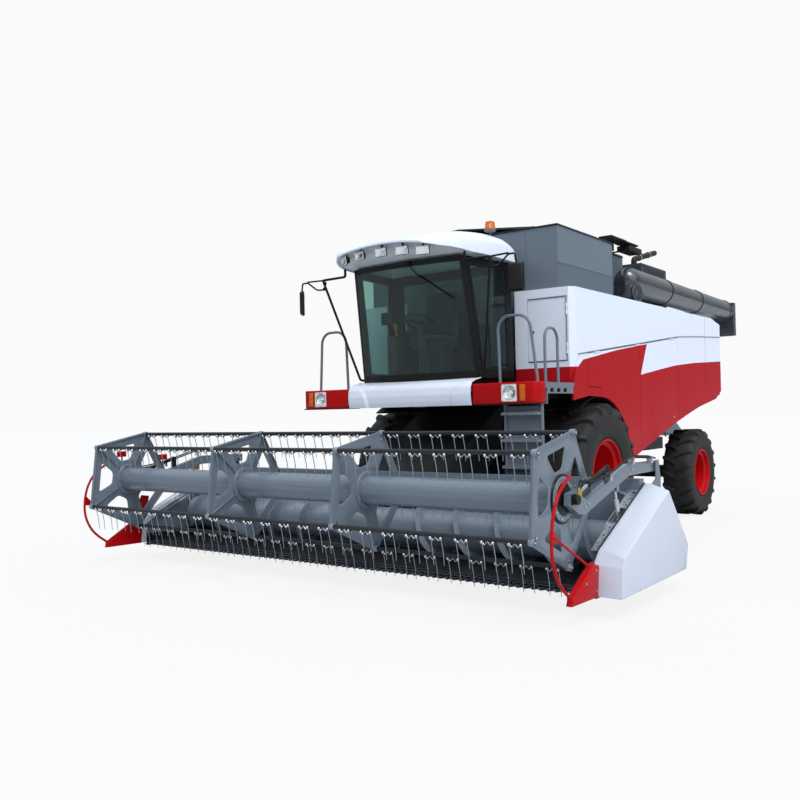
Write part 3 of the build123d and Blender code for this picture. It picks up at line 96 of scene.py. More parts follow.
def light_the_scene():
    """Overcast sky that darkens to the horizon, two soft suns, and a white floor that keeps the shadow."""
    world = bpy.data.worlds.new("studio_sky")
    bpy.context.scene.world = world
    tree = bare_nodes(world)
    way = add_node(tree, "ShaderNodeTexCoord").outputs["Generated"]
    height = add_node(tree, "ShaderNodeSeparateXYZ", {0: way}).outputs[2]
    level = add_node(tree, "ShaderNodeMapRange", {0: height, 1: 0.0, 2: 0.85, 3: 0.22, 4: 1.25})
    sky = add_node(tree, "ShaderNodeBackground", {"Color": linear("#E6EDF8"), "Strength": level.outputs[0]})
    # as bright as the lit floor, so that no horizon shows
    white_sky = add_node(tree, "ShaderNodeBackground", {"Color": (1, 1, 1, 1), "Strength": 0.96})
    mix = add_node(tree, "ShaderNodeMixShader",
                   {0: seen_directly(tree), 1: sky.outputs[0], 2: white_sky.outputs[0]})
    add_node(tree, "ShaderNodeOutputWorld", {0: mix.outputs[0]})

    # name, energy, angle, direction the light travels
    for name, energy, angle, way in (
        ("sun_key", 1.55, 26, (-0.42, 0.34, -0.84)),
        ("sun_fill", 0.75, 60, (-0.80, 0.30, -0.40)),
    ):
        bpy.ops.object.light_add(type="SUN")
        sun = bpy.context.object
        sun.name = name
        sun.data.energy = energy
        sun.data.angle = radians(angle)
        sun.rotation_euler = Vector(way).to_track_quat("-Z", "Y").to_euler()

    bpy.ops.mesh.primitive_plane_add(size=240, location=(0, 0, 0))
    floor = bpy.context.object
    floor.name = "studio_floor"
    paint = bpy.data.materials.new("floor_matt_white")
    tree = bare_nodes(paint)
    matt = add_node(tree, "ShaderNodeBsdfDiffuse", {"Color": linear("#C3C6C9")})
    glow = add_node(tree, "ShaderNodeEmission", {"Color": (1, 1, 1, 1), "Strength": 1})
    share = add_node(tree, "ShaderNodeMath", {0: seen_directly(tree), 1: 0.86}, operation="MULTIPLY")
    mix = add_node(tree, "ShaderNodeMixShader", {0: share.outputs[0], 1: matt.outputs[0], 2: glow.outputs[0]})
    add_node(tree, "ShaderNodeOutputMaterial", {0: mix.outputs[0]})
    floor.data.materials.append(paint)
    bpy.context.scene.view_settings.view_transform = "Standard"


# Materials

def new_material(name):
    """Material with its shader, and the place on the piece that patterns follow."""
    material = bpy.data.materials.new(name)
    tree = bare_nodes(material)
    shader = add_node(tree, "ShaderNodeBsdfPrincipled")
    add_node(tree, "ShaderNodeOutputMaterial", {"Surface": shader.outputs[0]})
    place = add_node(tree, "ShaderNodeTexCoord").outputs["Object"]
    return material, tree, shader, place


def sprayed_enamel(name, code, dust="#8C8880", rough=0.28, worn=0.10, edge=4, gleam=0.5):
    """Alkyd enamel sprayed on sheet steel: a glossy skin with faint orange peel, edges rounded by
    some millimetres that catch the light, and a thin film of dust that dulls it in broad patches."""
    material, tree, shader, place = new_material(name)
    patches = add_node(tree, "ShaderNodeTexNoise",
                       {"Vector": place, "Scale": 1.3, "Detail": 3, "Roughness": 0.5})
    film = add_node(tree, "ShaderNodeMapRange", {0: patches.outputs[0], 1: 0.2, 2: 0.9, 3: 0.0, 4: worn})
    film.interpolation_type = "SMOOTHSTEP"
    colour = add_node(tree, "ShaderNodeMix", {0: film.outputs[0], 6: linear(code), 7: linear(dust)},
                      data_type="RGBA")
    tree.links.new(colour.outputs[2], shader.inputs["Base Color"])
    gloss = add_node(tree, "ShaderNodeMapRange",
                     {0: patches.outputs[0], 1: 0.1, 2: 0.9, 3: rough - 0.05, 4: rough + 0.14})
    gloss.interpolation_type = "SMOOTHSTEP"
    tree.links.new(gloss.outputs[0], shader.inputs["Roughness"])
    # orange peel has 1 mm cells, drawn at 12 mm so that it shows
    peel = add_node(tree, "ShaderNodeTexNoise", {"Vector": place, "Scale": 85, "Detail": 1})
    rounding = add_node(tree, "ShaderNodeBevel", {"Radius": edge / 1000}, samples=3)
    skin = add_node(tree, "ShaderNodeBump",
                    {"Strength": 0.03, "Distance": 0.001, "Height": peel.outputs[0],
                     "Normal": rounding.outputs[0]})
    tree.links.new(skin.outputs[0], shader.inputs["Normal"])
    shader.inputs["Specular IOR Level"].default_value = gleam
    shader.inputs["Coat Weight"].default_value = 0.3 * gleam
    shader.inputs["Coat Roughness"].default_value = 0.12
    return material


def reopened(material):
    """Node tree, shader, present colour and (x, y, z) of the place of a material that gets a further coat."""
    tree = material.node_tree
    shader = next(n for n in tree.nodes if n.type == "BSDF_PRINCIPLED")
    place = next(n for n in tree.nodes if n.type == "TEX_COORD").outputs["Object"]
    painted = shader.inputs["Base Color"].links[0].from_socket
    return tree, shader, painted, add_node(tree, "ShaderNodeSeparateXYZ", {0: place}).outputs


def inside_all(tree, limits):
    """1 where a surface is inside every limit, each (value, kind, limit), and 0 elsewhere."""
    inside = 1.0
    for value, kind, limit in limits:
        hit = add_node(tree, "ShaderNodeMath", {0: value, 1: limit}, operation=kind).outputs[0]
        inside = add_node(tree, "ShaderNodeMath", {0: hit, 1: inside}, operation="MULTIPLY").outputs[0]
    return inside


def two_colour_enamel(name, top, base, under):
    """Side panels in white over red enamel, masked along a rising line with one notch, and near-black
    on the inner side of the sheets in the wheel arches as painted shade."""
    material = sprayed_enamel(name, top, worn=0.01, rough=0.34, gleam=0.07)
    tree, shader, colour, (x, y, z) = reopened(material)
    # the line's heights lie between 1.5 and 3.5 m
    lowest, span = 1.5, 2
    rear_start, red_foot = 1.38, 2.235

    def line_height(points):
        """Height of a line of straight runs at this place along the side."""
        low, high = points[0][0], points[-1][0]
        share = add_node(tree, "ShaderNodeMapRange", {0: y, 1: low, 2: high})
        curve = add_node(tree, "ShaderNodeFloatCurve", {1: share.outputs[0]})
        track = curve.mapping.curves[0]
        for i, (run, height) in enumerate(points):
            spot = ((run - low) / (high - low), (height - lowest) / span)
            if 0 < i < len(points) - 1:
                track.points.new(*spot)
            else:
                track.points[0 if i == 0 else -1].location = spot
        for point in track.points:
            point.handle_type = "VECTOR"
        curve.mapping.update()
        scaled = {0: curve.outputs[0], 1: span, 2: lowest}
        return add_node(tree, "ShaderNodeMath", scaled, operation="MULTIPLY_ADD").outputs[0]

    front = line_height(((-0.85, 2.29), (-0.66, 2.29), (-0.52, 2.38), (0.54, 2.545), (1.64, 2.68)))
    rear = line_height(((rear_start, red_foot), (2.06, 2.32), (2.83, 2.41), (3.69, 2.475), (5.17, 2.55)))
    notch = add_node(tree, "ShaderNodeMath", {0: z, 1: 0.584, 2: 0.0745}, operation="MULTIPLY_ADD").outputs[0]
    across = add_node(tree, "ShaderNodeMath", {0: x}, operation="ABSOLUTE").outputs[0]
    ahead = inside_all(tree, ((z, "LESS_THAN", front), (y, "LESS_THAN", notch)))
    behind = inside_all(tree, ((y, "GREATER_THAN", rear_start), (z, "LESS_THAN", rear)))
    bottom = inside_all(tree, ((z, "LESS_THAN", red_foot),))
    # the inner side of the sheets below the platform, behind the front wall, in near-black as painted shade
    hidden = inside_all(tree,
                        ((across, "LESS_THAN", 1.612), (z, "LESS_THAN", 2.06), (y, "GREATER_THAN", -0.70)))
    for share, coat in ((ahead, base), (behind, base), (bottom, base), (hidden, under)):
        mix = add_node(tree, "ShaderNodeMix", {0: share, 6: colour, 7: linear(coat)}, data_type="RGBA")
        colour = mix.outputs[2]
    tree.links.new(colour, shader.inputs["Base Color"])
    return material


def second_coat(material, code, limits):
    """A second colour over the part of a surface inside limits of its place, each (axis, kind, value)."""
    tree, shader, painted, place = reopened(material)
    inside = inside_all(tree, [(place["XYZ".index(axis)], kind, value) for axis, kind, value in limits])
    colour = add_node(tree, "ShaderNodeMix", {0: inside, 6: painted, 7: linear(code)}, data_type="RGBA")
    tree.links.new(colour.outputs[2], shader.inputs["Base Color"])


def tyre_rubber():
    """Vulcanised natural rubber with carbon black: a deep matt grey black, with patches of dry soil
    that also dull it, and a fine moulded grain."""
    material, tree, shader, place = new_material("tyre_vulcanised_rubber")
    soil = add_node(tree, "ShaderNodeTexNoise", {"Vector": place, "Scale": 9, "Detail": 8, "Roughness": 0.65})
    colour = add_node(tree, "ShaderNodeValToRGB", {0: soil.outputs[0]})
    for element, place_on_ramp, code in zip(colour.color_ramp.elements, (0.42, 0.80), ("#121212", "#2C2926")):
        element.position = place_on_ramp
        element.color = linear(code)
    tree.links.new(colour.outputs[0], shader.inputs["Base Color"])
    rough = add_node(tree, "ShaderNodeMapRange", {0: soil.outputs[0], 1: 0.3, 2: 0.7, 3: 0.55, 4: 0.85})
    tree.links.new(rough.outputs[0], shader.inputs["Roughness"])
    grain = add_node(tree, "ShaderNodeTexNoise", {"Vector": place, "Scale": 120, "Detail": 3})
    bump = add_node(tree, "ShaderNodeBump", {"Strength": 0.25, "Distance": 0.003, "Height": grain.outputs[0]})
    tree.links.new(bump.outputs[0], shader.inputs["Normal"])
    return material


def galvanised_sheet():
    """Hot-dip galvanised steel: a dull silver skin broken into zinc crystals of 10 to 20 mm that
    turn the light in slightly different greys."""
    material, tree, shader, place = new_material("galvanised_steel_sheet")
    crystals = add_node(tree, "ShaderNodeTexVoronoi", {"Vector": place, "Scale": 60})
    shade = add_node(tree, "ShaderNodeSeparateColor", {0: crystals.outputs["Color"]})
    colour = add_node(tree, "ShaderNodeMix",
                      {0: shade.outputs[0], 6: linear("#848B90"), 7: linear("#AEB4B8")}, data_type="RGBA")
    tree.links.new(colour.outputs[2], shader.inputs["Base Color"])
    shader.inputs["Metallic"].default_value = 0.85
    rough = add_node(tree, "ShaderNodeMapRange", {0: shade.outputs[1], 3: 0.34, 4: 0.52})
    tree.links.new(rough.outputs[0], shader.inputs["Roughness"])
    return material


def worn_metal(name, code, rough, metallic=1.0, stain="#4A443C", amount=0.35, scale=14):
    """Bare or plated machine steel: bright, with fine drawing marks and light stains of oil and dust."""
    material, tree, shader, place = new_material(name)
    marks = add_node(tree, "ShaderNodeTexNoise",
                     {"Vector": place, "Scale": scale, "Detail": 6, "Roughness": 0.7})
    stained = add_node(tree, "ShaderNodeMapRange", {0: marks.outputs[0], 1: 0.5, 2: 0.8, 3: 0.0, 4: amount})
    colour = add_node(tree, "ShaderNodeMix", {0: stained.outputs[0], 6: linear(code), 7: linear(stain)},
                      data_type="RGBA")
    tree.links.new(colour.outputs[2], shader.inputs["Base Color"])
    shader.inputs["Metallic"].default_value = metallic
    gloss = add_node(tree, "ShaderNodeMapRange",
                     {0: marks.outputs[0], 1: 0.3, 2: 0.8, 3: rough - 0.06, 4: rough + 0.15})
    tree.links.new(gloss.outputs[0], shader.inputs["Roughness"])
    return material


def moulded_plastic(name, code, rough=0.42, grain=260):
    """Injection-moulded polypropylene: even colour, a fine spark-eroded grain and a soft broad shine."""
    material, tree, shader, place = new_material(name)
    pits = add_node(tree, "ShaderNodeTexNoise", {"Vector": place, "Scale": grain, "Detail": 2})
    tint = add_node(tree, "ShaderNodeTexNoise", {"Vector": place, "Scale": 4, "Detail": 4})
    level = add_node(tree, "ShaderNodeMapRange", {0: tint.outputs[0], 1: 0.4, 2: 0.8, 3: 0.0, 4: 0.04})
    colour = add_node(tree, "ShaderNodeMix", {0: level.outputs[0], 6: linear(code), 7: linear("#7A766E")},
                      data_type="RGBA")
    tree.links.new(colour.outputs[2], shader.inputs["Base Color"])
    shader.inputs["Roughness"].default_value = rough
    shader.inputs["Specular IOR Level"].default_value = 0.3
    rounding = add_node(tree, "ShaderNodeBevel", {"Radius": 0.003}, samples=3)
    bump = add_node(tree, "ShaderNodeBump",
                    {"Strength": 0.12, "Distance": 0.001, "Height": pits.outputs[0],
                     "Normal": rounding.outputs[0]})
    tree.links.new(bump.outputs[0], shader.inputs["Normal"])
    return material


def clear_glass(name, code, rough=0.0, prisms=0.0, ior=1.52, clear=1.0):
    """Clear moulded or float glass. Lamp lenses have upright prisms, 12 mm from one to the next."""
    material, tree, shader, place = new_material(name)
    shader.inputs["Base Color"].default_value = linear(code)
    shader.inputs["Transmission Weight"].default_value = clear
    shader.inputs["Roughness"].default_value = rough
    shader.inputs["IOR"].default_value = ior
    if prisms:
        ribs = add_node(tree, "ShaderNodeTexWave", {"Vector": place, "Scale": 26}, bands_direction="X")
        bump = add_node(tree, "ShaderNodeBump",
                        {"Strength": prisms, "Distance": 0.004, "Height": ribs.outputs[0]})
        tree.links.new(bump.outputs[0], shader.inputs["Normal"])
    return material


def woven_seat_cloth():
    """Flat-woven polyester seat cloth: matt charcoal in a basket weave of 3 mm threads, with a faint nap."""
    material, tree, shader, place = new_material("seat_woven_polyester")
    weave = []
    for way in ("X", "Z"):
        weave.append(add_node(tree, "ShaderNodeTexWave", {"Vector": place, "Scale": 52},
                              bands_direction=way).outputs[0])
    basket = add_node(tree, "ShaderNodeMath", {0: weave[0], 1: weave[1]}, operation="MULTIPLY")
    colour = add_node(tree, "ShaderNodeMix",
                      {0: basket.outputs[0], 6: linear("#22262A"), 7: linear("#454B50")}, data_type="RGBA")
    tree.links.new(colour.outputs[2], shader.inputs["Base Color"])
    shader.inputs["Roughness"].default_value = 0.9
    shader.inputs["Sheen Weight"].default_value = 0.25
    bump = add_node(tree, "ShaderNodeBump", {"Strength": 0.4, "Distance": 0.002, "Height": basket.outputs[0]})
    tree.links.new(bump.outputs[0], shader.inputs["Normal"])
    return material


red = sprayed_enamel("enamel_signal_red", "#B20B0F", worn=0.01, gleam=0.10)
white = sprayed_enamel("enamel_cool_white", "#E4ECF8", dust="#C6C4BC", worn=0.05, edge=6, gleam=0.35)
# a darker copy of the white enamel for the shrouds: painted shade for their outer sides
shroud_shaded_white = sprayed_enamel("enamel_white_painted_shade", "#CBD2DF", dust="#AFADA6", worn=0.08, edge=6, gleam=0.35)
# the last colour, near-black, is painted shade on the inner side of the sheets
panel = two_colour_enamel("enamel_white_over_red", "#E4ECF8", "#AE161D", "#1C1D1E")
slate = sprayed_enamel("enamel_header_slate", "#66737F", rough=0.24, gleam=0.6)
trough_slate = sprayed_enamel("enamel_trough_slate", "#626F7C", rough=0.34, gleam=0.4)
# near-black on the trough's floor in front of the auger: partly its dark paint and partly painted shadow
# under the reel and auger
second_coat(trough_slate, "#1D1F21", (("Z", "LESS_THAN", 0.30), ("Y", "LESS_THAN", -2.40)))
# near-black for the feeder house: partly its dark paint and partly painted shade for its place under the
# apron
feeder_paint_and_shade = sprayed_enamel("enamel_feeder_paint_and_shade", "#151718", rough=0.42, worn=0.04, gleam=0.25)
tank_grey = sprayed_enamel("enamel_tank_grey", "#67747F", rough=0.34, edge=6, gleam=0.3)
# painted shade: the lower panel of the tank's left side, below its crease, in a darker grey than the upper
# one
second_coat(tank_grey, "#5A6670",
            (("Z", "LESS_THAN", 3.59), ("X", "GREATER_THAN", 1.13), ("Y", "GREATER_THAN", -0.735)))
tube_grey = sprayed_enamel("enamel_tube_graphite", "#30363C", rough=0.30, gleam=0.35)
unloader_grey = sprayed_enamel("enamel_unloader_graphite", "#262B30", rough=0.20, worn=0.03, gleam=1.0)
rail_grey = sprayed_enamel("enamel_rail_grey", "#6C7782", rough=0.34, gleam=0.4)
chassis_black = sprayed_enamel("enamel_chassis_black", "#141516", rough=0.45, worn=0.06, gleam=0.2)
cab_black = sprayed_enamel("enamel_cab_black", "#0A0B0C", rough=0.30, worn=0.01, gleam=0.2)
bar_black = sprayed_enamel("enamel_bar_black", "#1A1D20", rough=0.36, worn=0.03, gleam=0.3)
cast_grey = sprayed_enamel("enamel_cast_grey", "#7A8793", rough=0.30, gleam=0.4)
orange_paint = sprayed_enamel("enamel_guard_orange", "#E0901A", rough=0.34)
rubber = tyre_rubber()
galvanised = galvanised_sheet()
spring_steel = worn_metal("spring_steel_wire", "#A9AFB3", 0.34)
bright_steel = worn_metal("zinc_plated_steel", "#D4D6D6", 0.24, amount=0.15)
rod_chrome = worn_metal("hard_chromed_rod", "#DADCDD", 0.10, amount=0.08)
cutter_steel = worn_metal("forged_guard_steel", "#4B4F52", 0.48, metallic=0.8, scale=30)
heat_steel = worn_metal("heat_blackened_pipe", "#2B2A2A", 0.50, metallic=0.6, stain="#1A1614", amount=0.6)
brass = worn_metal("chromated_fitting", "#C2A35A", 0.30, amount=0.2)
black_plastic = moulded_plastic("polypropylene_black", "#111213")
liner_grey = moulded_plastic("polypropylene_light_grey", "#E4E9ED", rough=0.5)
# a darker copy of the grey plastic for the console and column: painted shade of the cab's inside
console_shaded_grey = moulded_plastic("polypropylene_console_painted_shade", "#3C4246", rough=0.5)
grey_plastic = moulded_plastic("polypropylene_grey", "#6B7072", rough=0.5)
hose_black = moulded_plastic("hose_braided_rubber", "#151617", rough=0.55, grain=420)
cab_tint = clear_glass("glass_green_tinted", "#AECBC4", ior=1.33)
lens_clear = clear_glass("lens_clear_polycarbonate", "#F4F7F8", prisms=0.35, ior=1.58)
lens_amber = clear_glass("lens_amber_acrylic", "#F5820A", rough=0.12, prisms=0.3, ior=1.49, clear=0.45)
lens_red = clear_glass("lens_red_acrylic", "#C3121A", rough=0.12, prisms=0.3, ior=1.49, clear=0.45)
reflector = worn_metal("aluminised_reflector", "#EDEFF0", 0.09, amount=0.02)
mirror_glass = worn_metal("silvered_mirror", "#DDE2E4", 0.04, amount=0.02)
seat_cloth = woven_seat_cloth()


# Modelling

def deselect():
    bpy.ops.object.select_all(action="DESELECT")


def pick(piece):
    """Selects one piece and makes it the active one."""
    deselect()
    piece.select_set(True)
    bpy.context.view_layer.objects.active = piece
    return piece


def settle(piece):
    """Puts a piece's place, turn and size into its mesh."""
    pick(piece)
    bpy.ops.object.transform_apply(location=True, rotation=True, scale=True)
    return piece


def apply_modifier(piece, kind, **settings):
    """Adds a modifier, sets it and applies it."""
    pick(piece)
    modifier = piece.modifiers.new(kind, kind)
    for key, value in settings.items():
        setattr(modifier, key, value)
    bpy.ops.object.modifier_apply(modifier=modifier.name)
    return piece


def round_edges(piece, width, steps=2, angle=30):
    return apply_modifier(piece, "BEVEL", width=width, segments=steps, angle_limit=radians(angle),
                          limit_method="ANGLE")


def tidy_mesh(piece):
    """Merges doubles and turns the faces outwards."""
    pick(piece)
    bpy.ops.object.mode_set(mode="EDIT")
    bpy.ops.mesh.select_all(action="SELECT")
    bpy.ops.mesh.remove_doubles(threshold=0.0001)
    bpy.ops.mesh.normals_make_consistent(inside=False)
    bpy.ops.object.mode_set(mode="OBJECT")
    return piece


def unit_cube():
    """Cube of one metre, to be shaped."""
    deselect()
    bpy.ops.mesh.primitive_cube_add(size=1)
    return bpy.context.object


def square_grid(across, along):
    """Grid of squares from -1 to 1 each way, to be shaped."""
    deselect()
    bpy.ops.mesh.primitive_grid_add(x_subdivisions=across, y_subdivisions=along, size=2)
    return bpy.context.object


def begin_point(spot):
    """Mesh of one point, open for editing."""
    deselect()
    bpy.ops.mesh.primitive_plane_add(size=0.001, location=spot)
    piece = bpy.context.object
    bpy.ops.object.transform_apply(location=True)
    bpy.ops.object.mode_set(mode="EDIT")
    bpy.ops.mesh.select_mode(type="VERT")
    bpy.ops.mesh.merge(type="CENTER")
    return piece


def drag_out(way):
    """Extrudes what is selected."""
    bpy.ops.mesh.extrude_region_move(TRANSFORM_OT_translate={"value": way})


def turned_about(spot, angle, axis):
    """Turn about an axis through a point."""
    spot = Vector(spot)
    return Matrix.Translation(spot) @ Matrix.Rotation(angle, 4, axis) @ Matrix.Translation(-spot)


def block(low, high, edge=0.0, steps=2):
    """Block between two corners, its edges rounded over."""
    deselect()
    middle = [(a + b) / 2 for a, b in zip(low, high)]
    bpy.ops.mesh.primitive_cube_add(size=1, location=middle)
    piece = bpy.context.object
    piece.scale = [b - a for a, b in zip(low, high)]
    settle(piece)
    return round_edges(piece, edge, steps) if edge else piece


def side_block(side, low, high, edge=0.0, steps=2):
    """Block given on the left side, or its mirror image on the right."""
    near, far = sorted((side * low[0], side * high[0]))
    return block((near, *low[1:]), (far, *high[1:]), edge, steps)


def sided(side, points):
    """Points given on the left side, or their mirror images on the right."""
    return [(side * x, *rest) for x, *rest in points]


def both_ends(half, middle=()):
    """Outline of a turned piece with two like ends, from the (place, radius) points of one end."""
    return [(-a, r) for a, r in half] + [*middle] + [(a, r) for a, r in half[::-1]]


def bar(start, end, radius, end_radius=None, sides=20, edge=0.0):
    """Round bar or cone between two points, its rims broken."""
    deselect()
    run = Vector(end) - Vector(start)
    turn = run.to_track_quat("Z", "Y").to_euler()
    middle = (Vector(start) + Vector(end)) / 2
    top = radius if end_radius is None else end_radius
    bpy.ops.mesh.primitive_cone_add(vertices=sides, radius1=radius, radius2=top, depth=run.length,
                                    location=middle, rotation=turn)
    piece = settle(bpy.context.object)
    return round_edges(piece, edge, 2, 50) if edge else piece


def spun(profile, centre, axis, steps):
    """Turned piece: a line of (place along the axis, radius) points swung once round the axis."""
    axis, centre = Vector(axis).normalized(), Vector(centre)
    out = axis.orthogonal().normalized()
    spots = [centre + axis * a + out * r for a, r in profile]
    piece = begin_point(spots[0])
    for start, end in zip(spots, spots[1:]):
        drag_out(end - start)
    bpy.ops.mesh.select_all(action="SELECT")
    bpy.ops.mesh.spin(steps=steps, angle=2 * pi, center=centre, axis=axis)
    bpy.ops.object.mode_set(mode="OBJECT")
    return tidy_mesh(piece)


def plate(loops, origin, across, up, thick, edge=0.0):
    """Flat plate from closed outlines, the first its rim and the others its holes."""
    deselect()
    line = bpy.data.curves.new("outline", "CURVE")
    line.dimensions = "2D"
    line.fill_mode = "BOTH"
    for loop in loops:
        spline = line.splines.new("POLY")
        spline.points.add(len(loop) - 1)
        for point, (u, v) in zip(spline.points, loop):
            point.co = (u, v, 0, 1)
        spline.use_cyclic_u = True
    line.extrude = thick / 2 - edge
    line.bevel_depth = edge
    line.bevel_resolution = 1
    line.offset = -edge
    piece = bpy.data.objects.new("plate", line)
    bpy.context.collection.objects.link(piece)
    across, up = Vector(across), Vector(up)
    turned = Matrix((across, up, across.cross(up))).transposed().to_4x4()
    piece.matrix_world = Matrix.Translation(origin) @ turned
    pick(piece)
    bpy.ops.object.convert(target="MESH")
    return tidy_mesh(settle(bpy.context.object))


def strip(mid, way, length, wide, thick):
    """Flat strip that stands across a plate: long one way, wide across the machine."""
    piece = unit_cube()
    turned = Matrix((ACROSS * wide, way * length, ACROSS.cross(way) * thick)).transposed().to_4x4()
    piece.matrix_world = Matrix.Translation(mid) @ turned
    return settle(piece)


def rounded_loop(corners, bend, steps=3):
    """Closed outline with its corners eased by a few points."""
    loop = []
    count = len(corners)
    for i, corner in enumerate(corners):
        corner = Vector(corner)
        before = (Vector(corners[i - 1]) - corner).normalized() * bend
        after = (Vector(corners[(i + 1) % count]) - corner).normalized() * bend
        for k in range(steps + 1):
            t = k / steps
            loop.append(tuple(corner + before * (1 - t) ** 2 + after * t ** 2))
    return loop


def between(points, at):
    """Value on a line of straight runs."""
    for (a, low), (b, high) in zip(points, points[1:]):
        if at <= b:
            return low + (high - low) * max(0.0, (at - a) / (b - a))
    return points[-1][1]


def side_plate(loops, x, thick, edge=0.0):
    """Plate in a side view of (y, z) corners, its middle at an x."""
    return plate(loops, (x, 0, 0), (0, 1, 0), (0, 0, 1), thick, edge)


def tube(points, radius, bend=0.0, flowing=False):
    """Tube along corner points: straight runs, corners eased over a bend, or one flowing line."""
    deselect()
    spots = [Vector(p) for p in points]
    track = [spots[0]]
    for before, corner, after in zip(spots, spots[1:], spots[2:]):
        if bend:
            eased = [corner + (end - corner).normalized() * bend for end in (before, after)]
            track += [eased[0], corner, eased[1]]
        else:
            track.append(corner)
    track.append(spots[-1])
    line = bpy.data.curves.new("tube", "CURVE")
    line.dimensions = "3D"
    spline = line.splines.new("NURBS" if bend or flowing else "POLY")
    spline.points.add(len(track) - 1)
    for point, spot in zip(spline.points, track):
        point.co = (*spot, 1)
    spline.order_u = 3
    spline.use_endpoint_u = True
    spline.resolution_u = 6
    line.bevel_depth = radius
    line.bevel_resolution = 3
    line.use_fill_caps = True
    piece = bpy.data.objects.new("tube", line)
    bpy.context.collection.objects.link(piece)
    pick(piece)
    bpy.ops.object.convert(target="MESH")
    return tidy_mesh(bpy.context.object)


def copy_at(piece, matrix):
    """Copy of a piece with its own mesh, moved by a matrix."""
    twin = piece.copy()
    twin.data = piece.data.copy()
    bpy.context.collection.objects.link(twin)
    twin.matrix_world = matrix @ piece.matrix_world
    settle(twin)
    if matrix.determinant() < 0:
        tidy_mesh(twin)
    return twin


def mirrored(piece):
    return copy_at(piece, Matrix.Scale(-1, 4, ACROSS))


def ring_of(piece, count, centre, axis):
    """The piece and its copies spaced evenly round an axis."""
    pieces = [piece]
    for i in range(1, count):
        pieces.append(copy_at(piece, turned_about(centre, 2 * pi * i / count, axis)))
    return pieces


def row_of(piece, count, *step):
    """The piece repeated along a straight row."""
    return apply_modifier(piece, "ARRAY", count=count, use_relative_offset=False,
                          use_constant_offset=True, constant_offset_displace=step)


def joined(pieces):
    """Several pieces as one."""
    deselect()
    for piece in pieces:
        piece.select_set(True)
    bpy.context.view_layer.objects.active = pieces[0]
    bpy.ops.object.join()
    return bpy.context.object


def finish(name, pieces, material, body, stands_for=(), angle=35):
    """Names a piece, or joins several as one, and gives it its finish and the body that carries it."""
    if isinstance(pieces, list):
        pieces = joined(pieces) if len(pieces) > 1 else pieces[0]
    piece = settle(pieces)
    bpy.ops.object.shade_smooth_by_angle(angle=radians(angle))
    piece.name = name
    piece.data.materials.clear()
    piece.data.materials.append(material)
    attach(piece, body)
    if stands_for:
        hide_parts(*stands_for)
    return piece


def bolt(spot, way, size=0.010, height=0.007):
    """Hexagon head that stands on a face."""
    way = Vector(way).normalized()
    return bar(Vector(spot) - way * 0.002, Vector(spot) + way * height, size, sides=6)


def bolts(name, spots, way, body, size=0.010):
    """Row of bolt heads, all facing one way."""
    return finish(name, [bolt(spot, way, size) for spot in spots], bright_steel, body, angle=20)


def paint_node(name, material):
    """Gives a CAD piece its finish."""
    slots = nodes[name].material_slots
    if not slots:
        nodes[name].data.materials.append(material)
    for slot in slots:
        slot.material = material


# Tyres and wheels

def build_tyre(name, body, centre, radius, width, rim, lug_count, lug):
    """Driven tyre: a smooth carcass with a rim guard, and two rows of slanted lugs that meet in a V."""
    x, y, z = centre
    tall = radius - rim
    lug_wide, lug_tall = lug
    deck = radius - lug_tall
    # share of the width, radius
    half = ((0.36, rim + 0.012), (0.425, rim + 0.02), (0.445, rim + 0.055), (0.462, rim + 0.06),
            (0.47, rim + 0.085),
            (0.493, rim + 0.36 * tall), (0.497, rim + 0.5 * tall), (0.488, rim + 0.66 * tall),
            (0.462, rim + 0.78 * tall),
            (0.41, deck - 0.020), (0.30, deck - 0.004), (0.15, deck))
    profile = both_ends([(share * width, r) for share, r in half], [(0, deck + 0.001)])
    carcass = spun(profile, centre, ACROSS, 64)
    # lugs run from their inner end to the rim's side, in shares of the width, and drop past the shoulder
    inner_end, reach, shoulder = 0.015, 0.472, 0.40
    lugs = []
    for hand in (-1, 1):
        piece = unit_cube()
        bpy.ops.object.mode_set(mode="EDIT")
        bpy.ops.mesh.select_all(action="DESELECT")
        bpy.ops.object.mode_set(mode="OBJECT")
        for edge in piece.data.edges:
            ends = [piece.data.vertices[i].co for i in edge.vertices]
            edge.select = abs(ends[0].x - ends[1].x) > 0.5
        bpy.ops.object.mode_set(mode="EDIT")
        bpy.ops.mesh.select_mode(type="EDGE")
        bpy.ops.mesh.subdivide(number_cuts=5)
        bpy.ops.object.mode_set(mode="OBJECT")
        # each point goes from the cube's own place to its place on the tyre
        for vertex in piece.data.vertices:
            share, around, level = vertex.co.x + 0.5, vertex.co.y, vertex.co.z + 0.5
            out = inner_end + reach * share
            top = radius if out < shoulder else radius - (out - shoulder) / 0.09 * 0.62 * lug_tall * 2
            low = top - lug_tall * 1.35 if out < 0.42 else top - lug_tall * 1.6
            r = low + (top - low) * level
            thick = lug_wide * (1.5 - 0.5 * level) * (1.1 if share < 0.2 else 1.0)
            # the lug turns straighter across towards the shoulder
            back = -width * (0.62 * out - 0.28 * out * out)
            angle = (around * thick + back) / radius + pi / lug_count * (0.5 if hand > 0 else -0.5)
            vertex.co = (x + hand * out * width, y - r * sin(angle), z + r * cos(angle))
        tidy_mesh(piece)
        lugs += ring_of(piece, lug_count, centre, ACROSS)
    return finish(name, [carcass] + lugs, rubber, body, [name], angle=32)


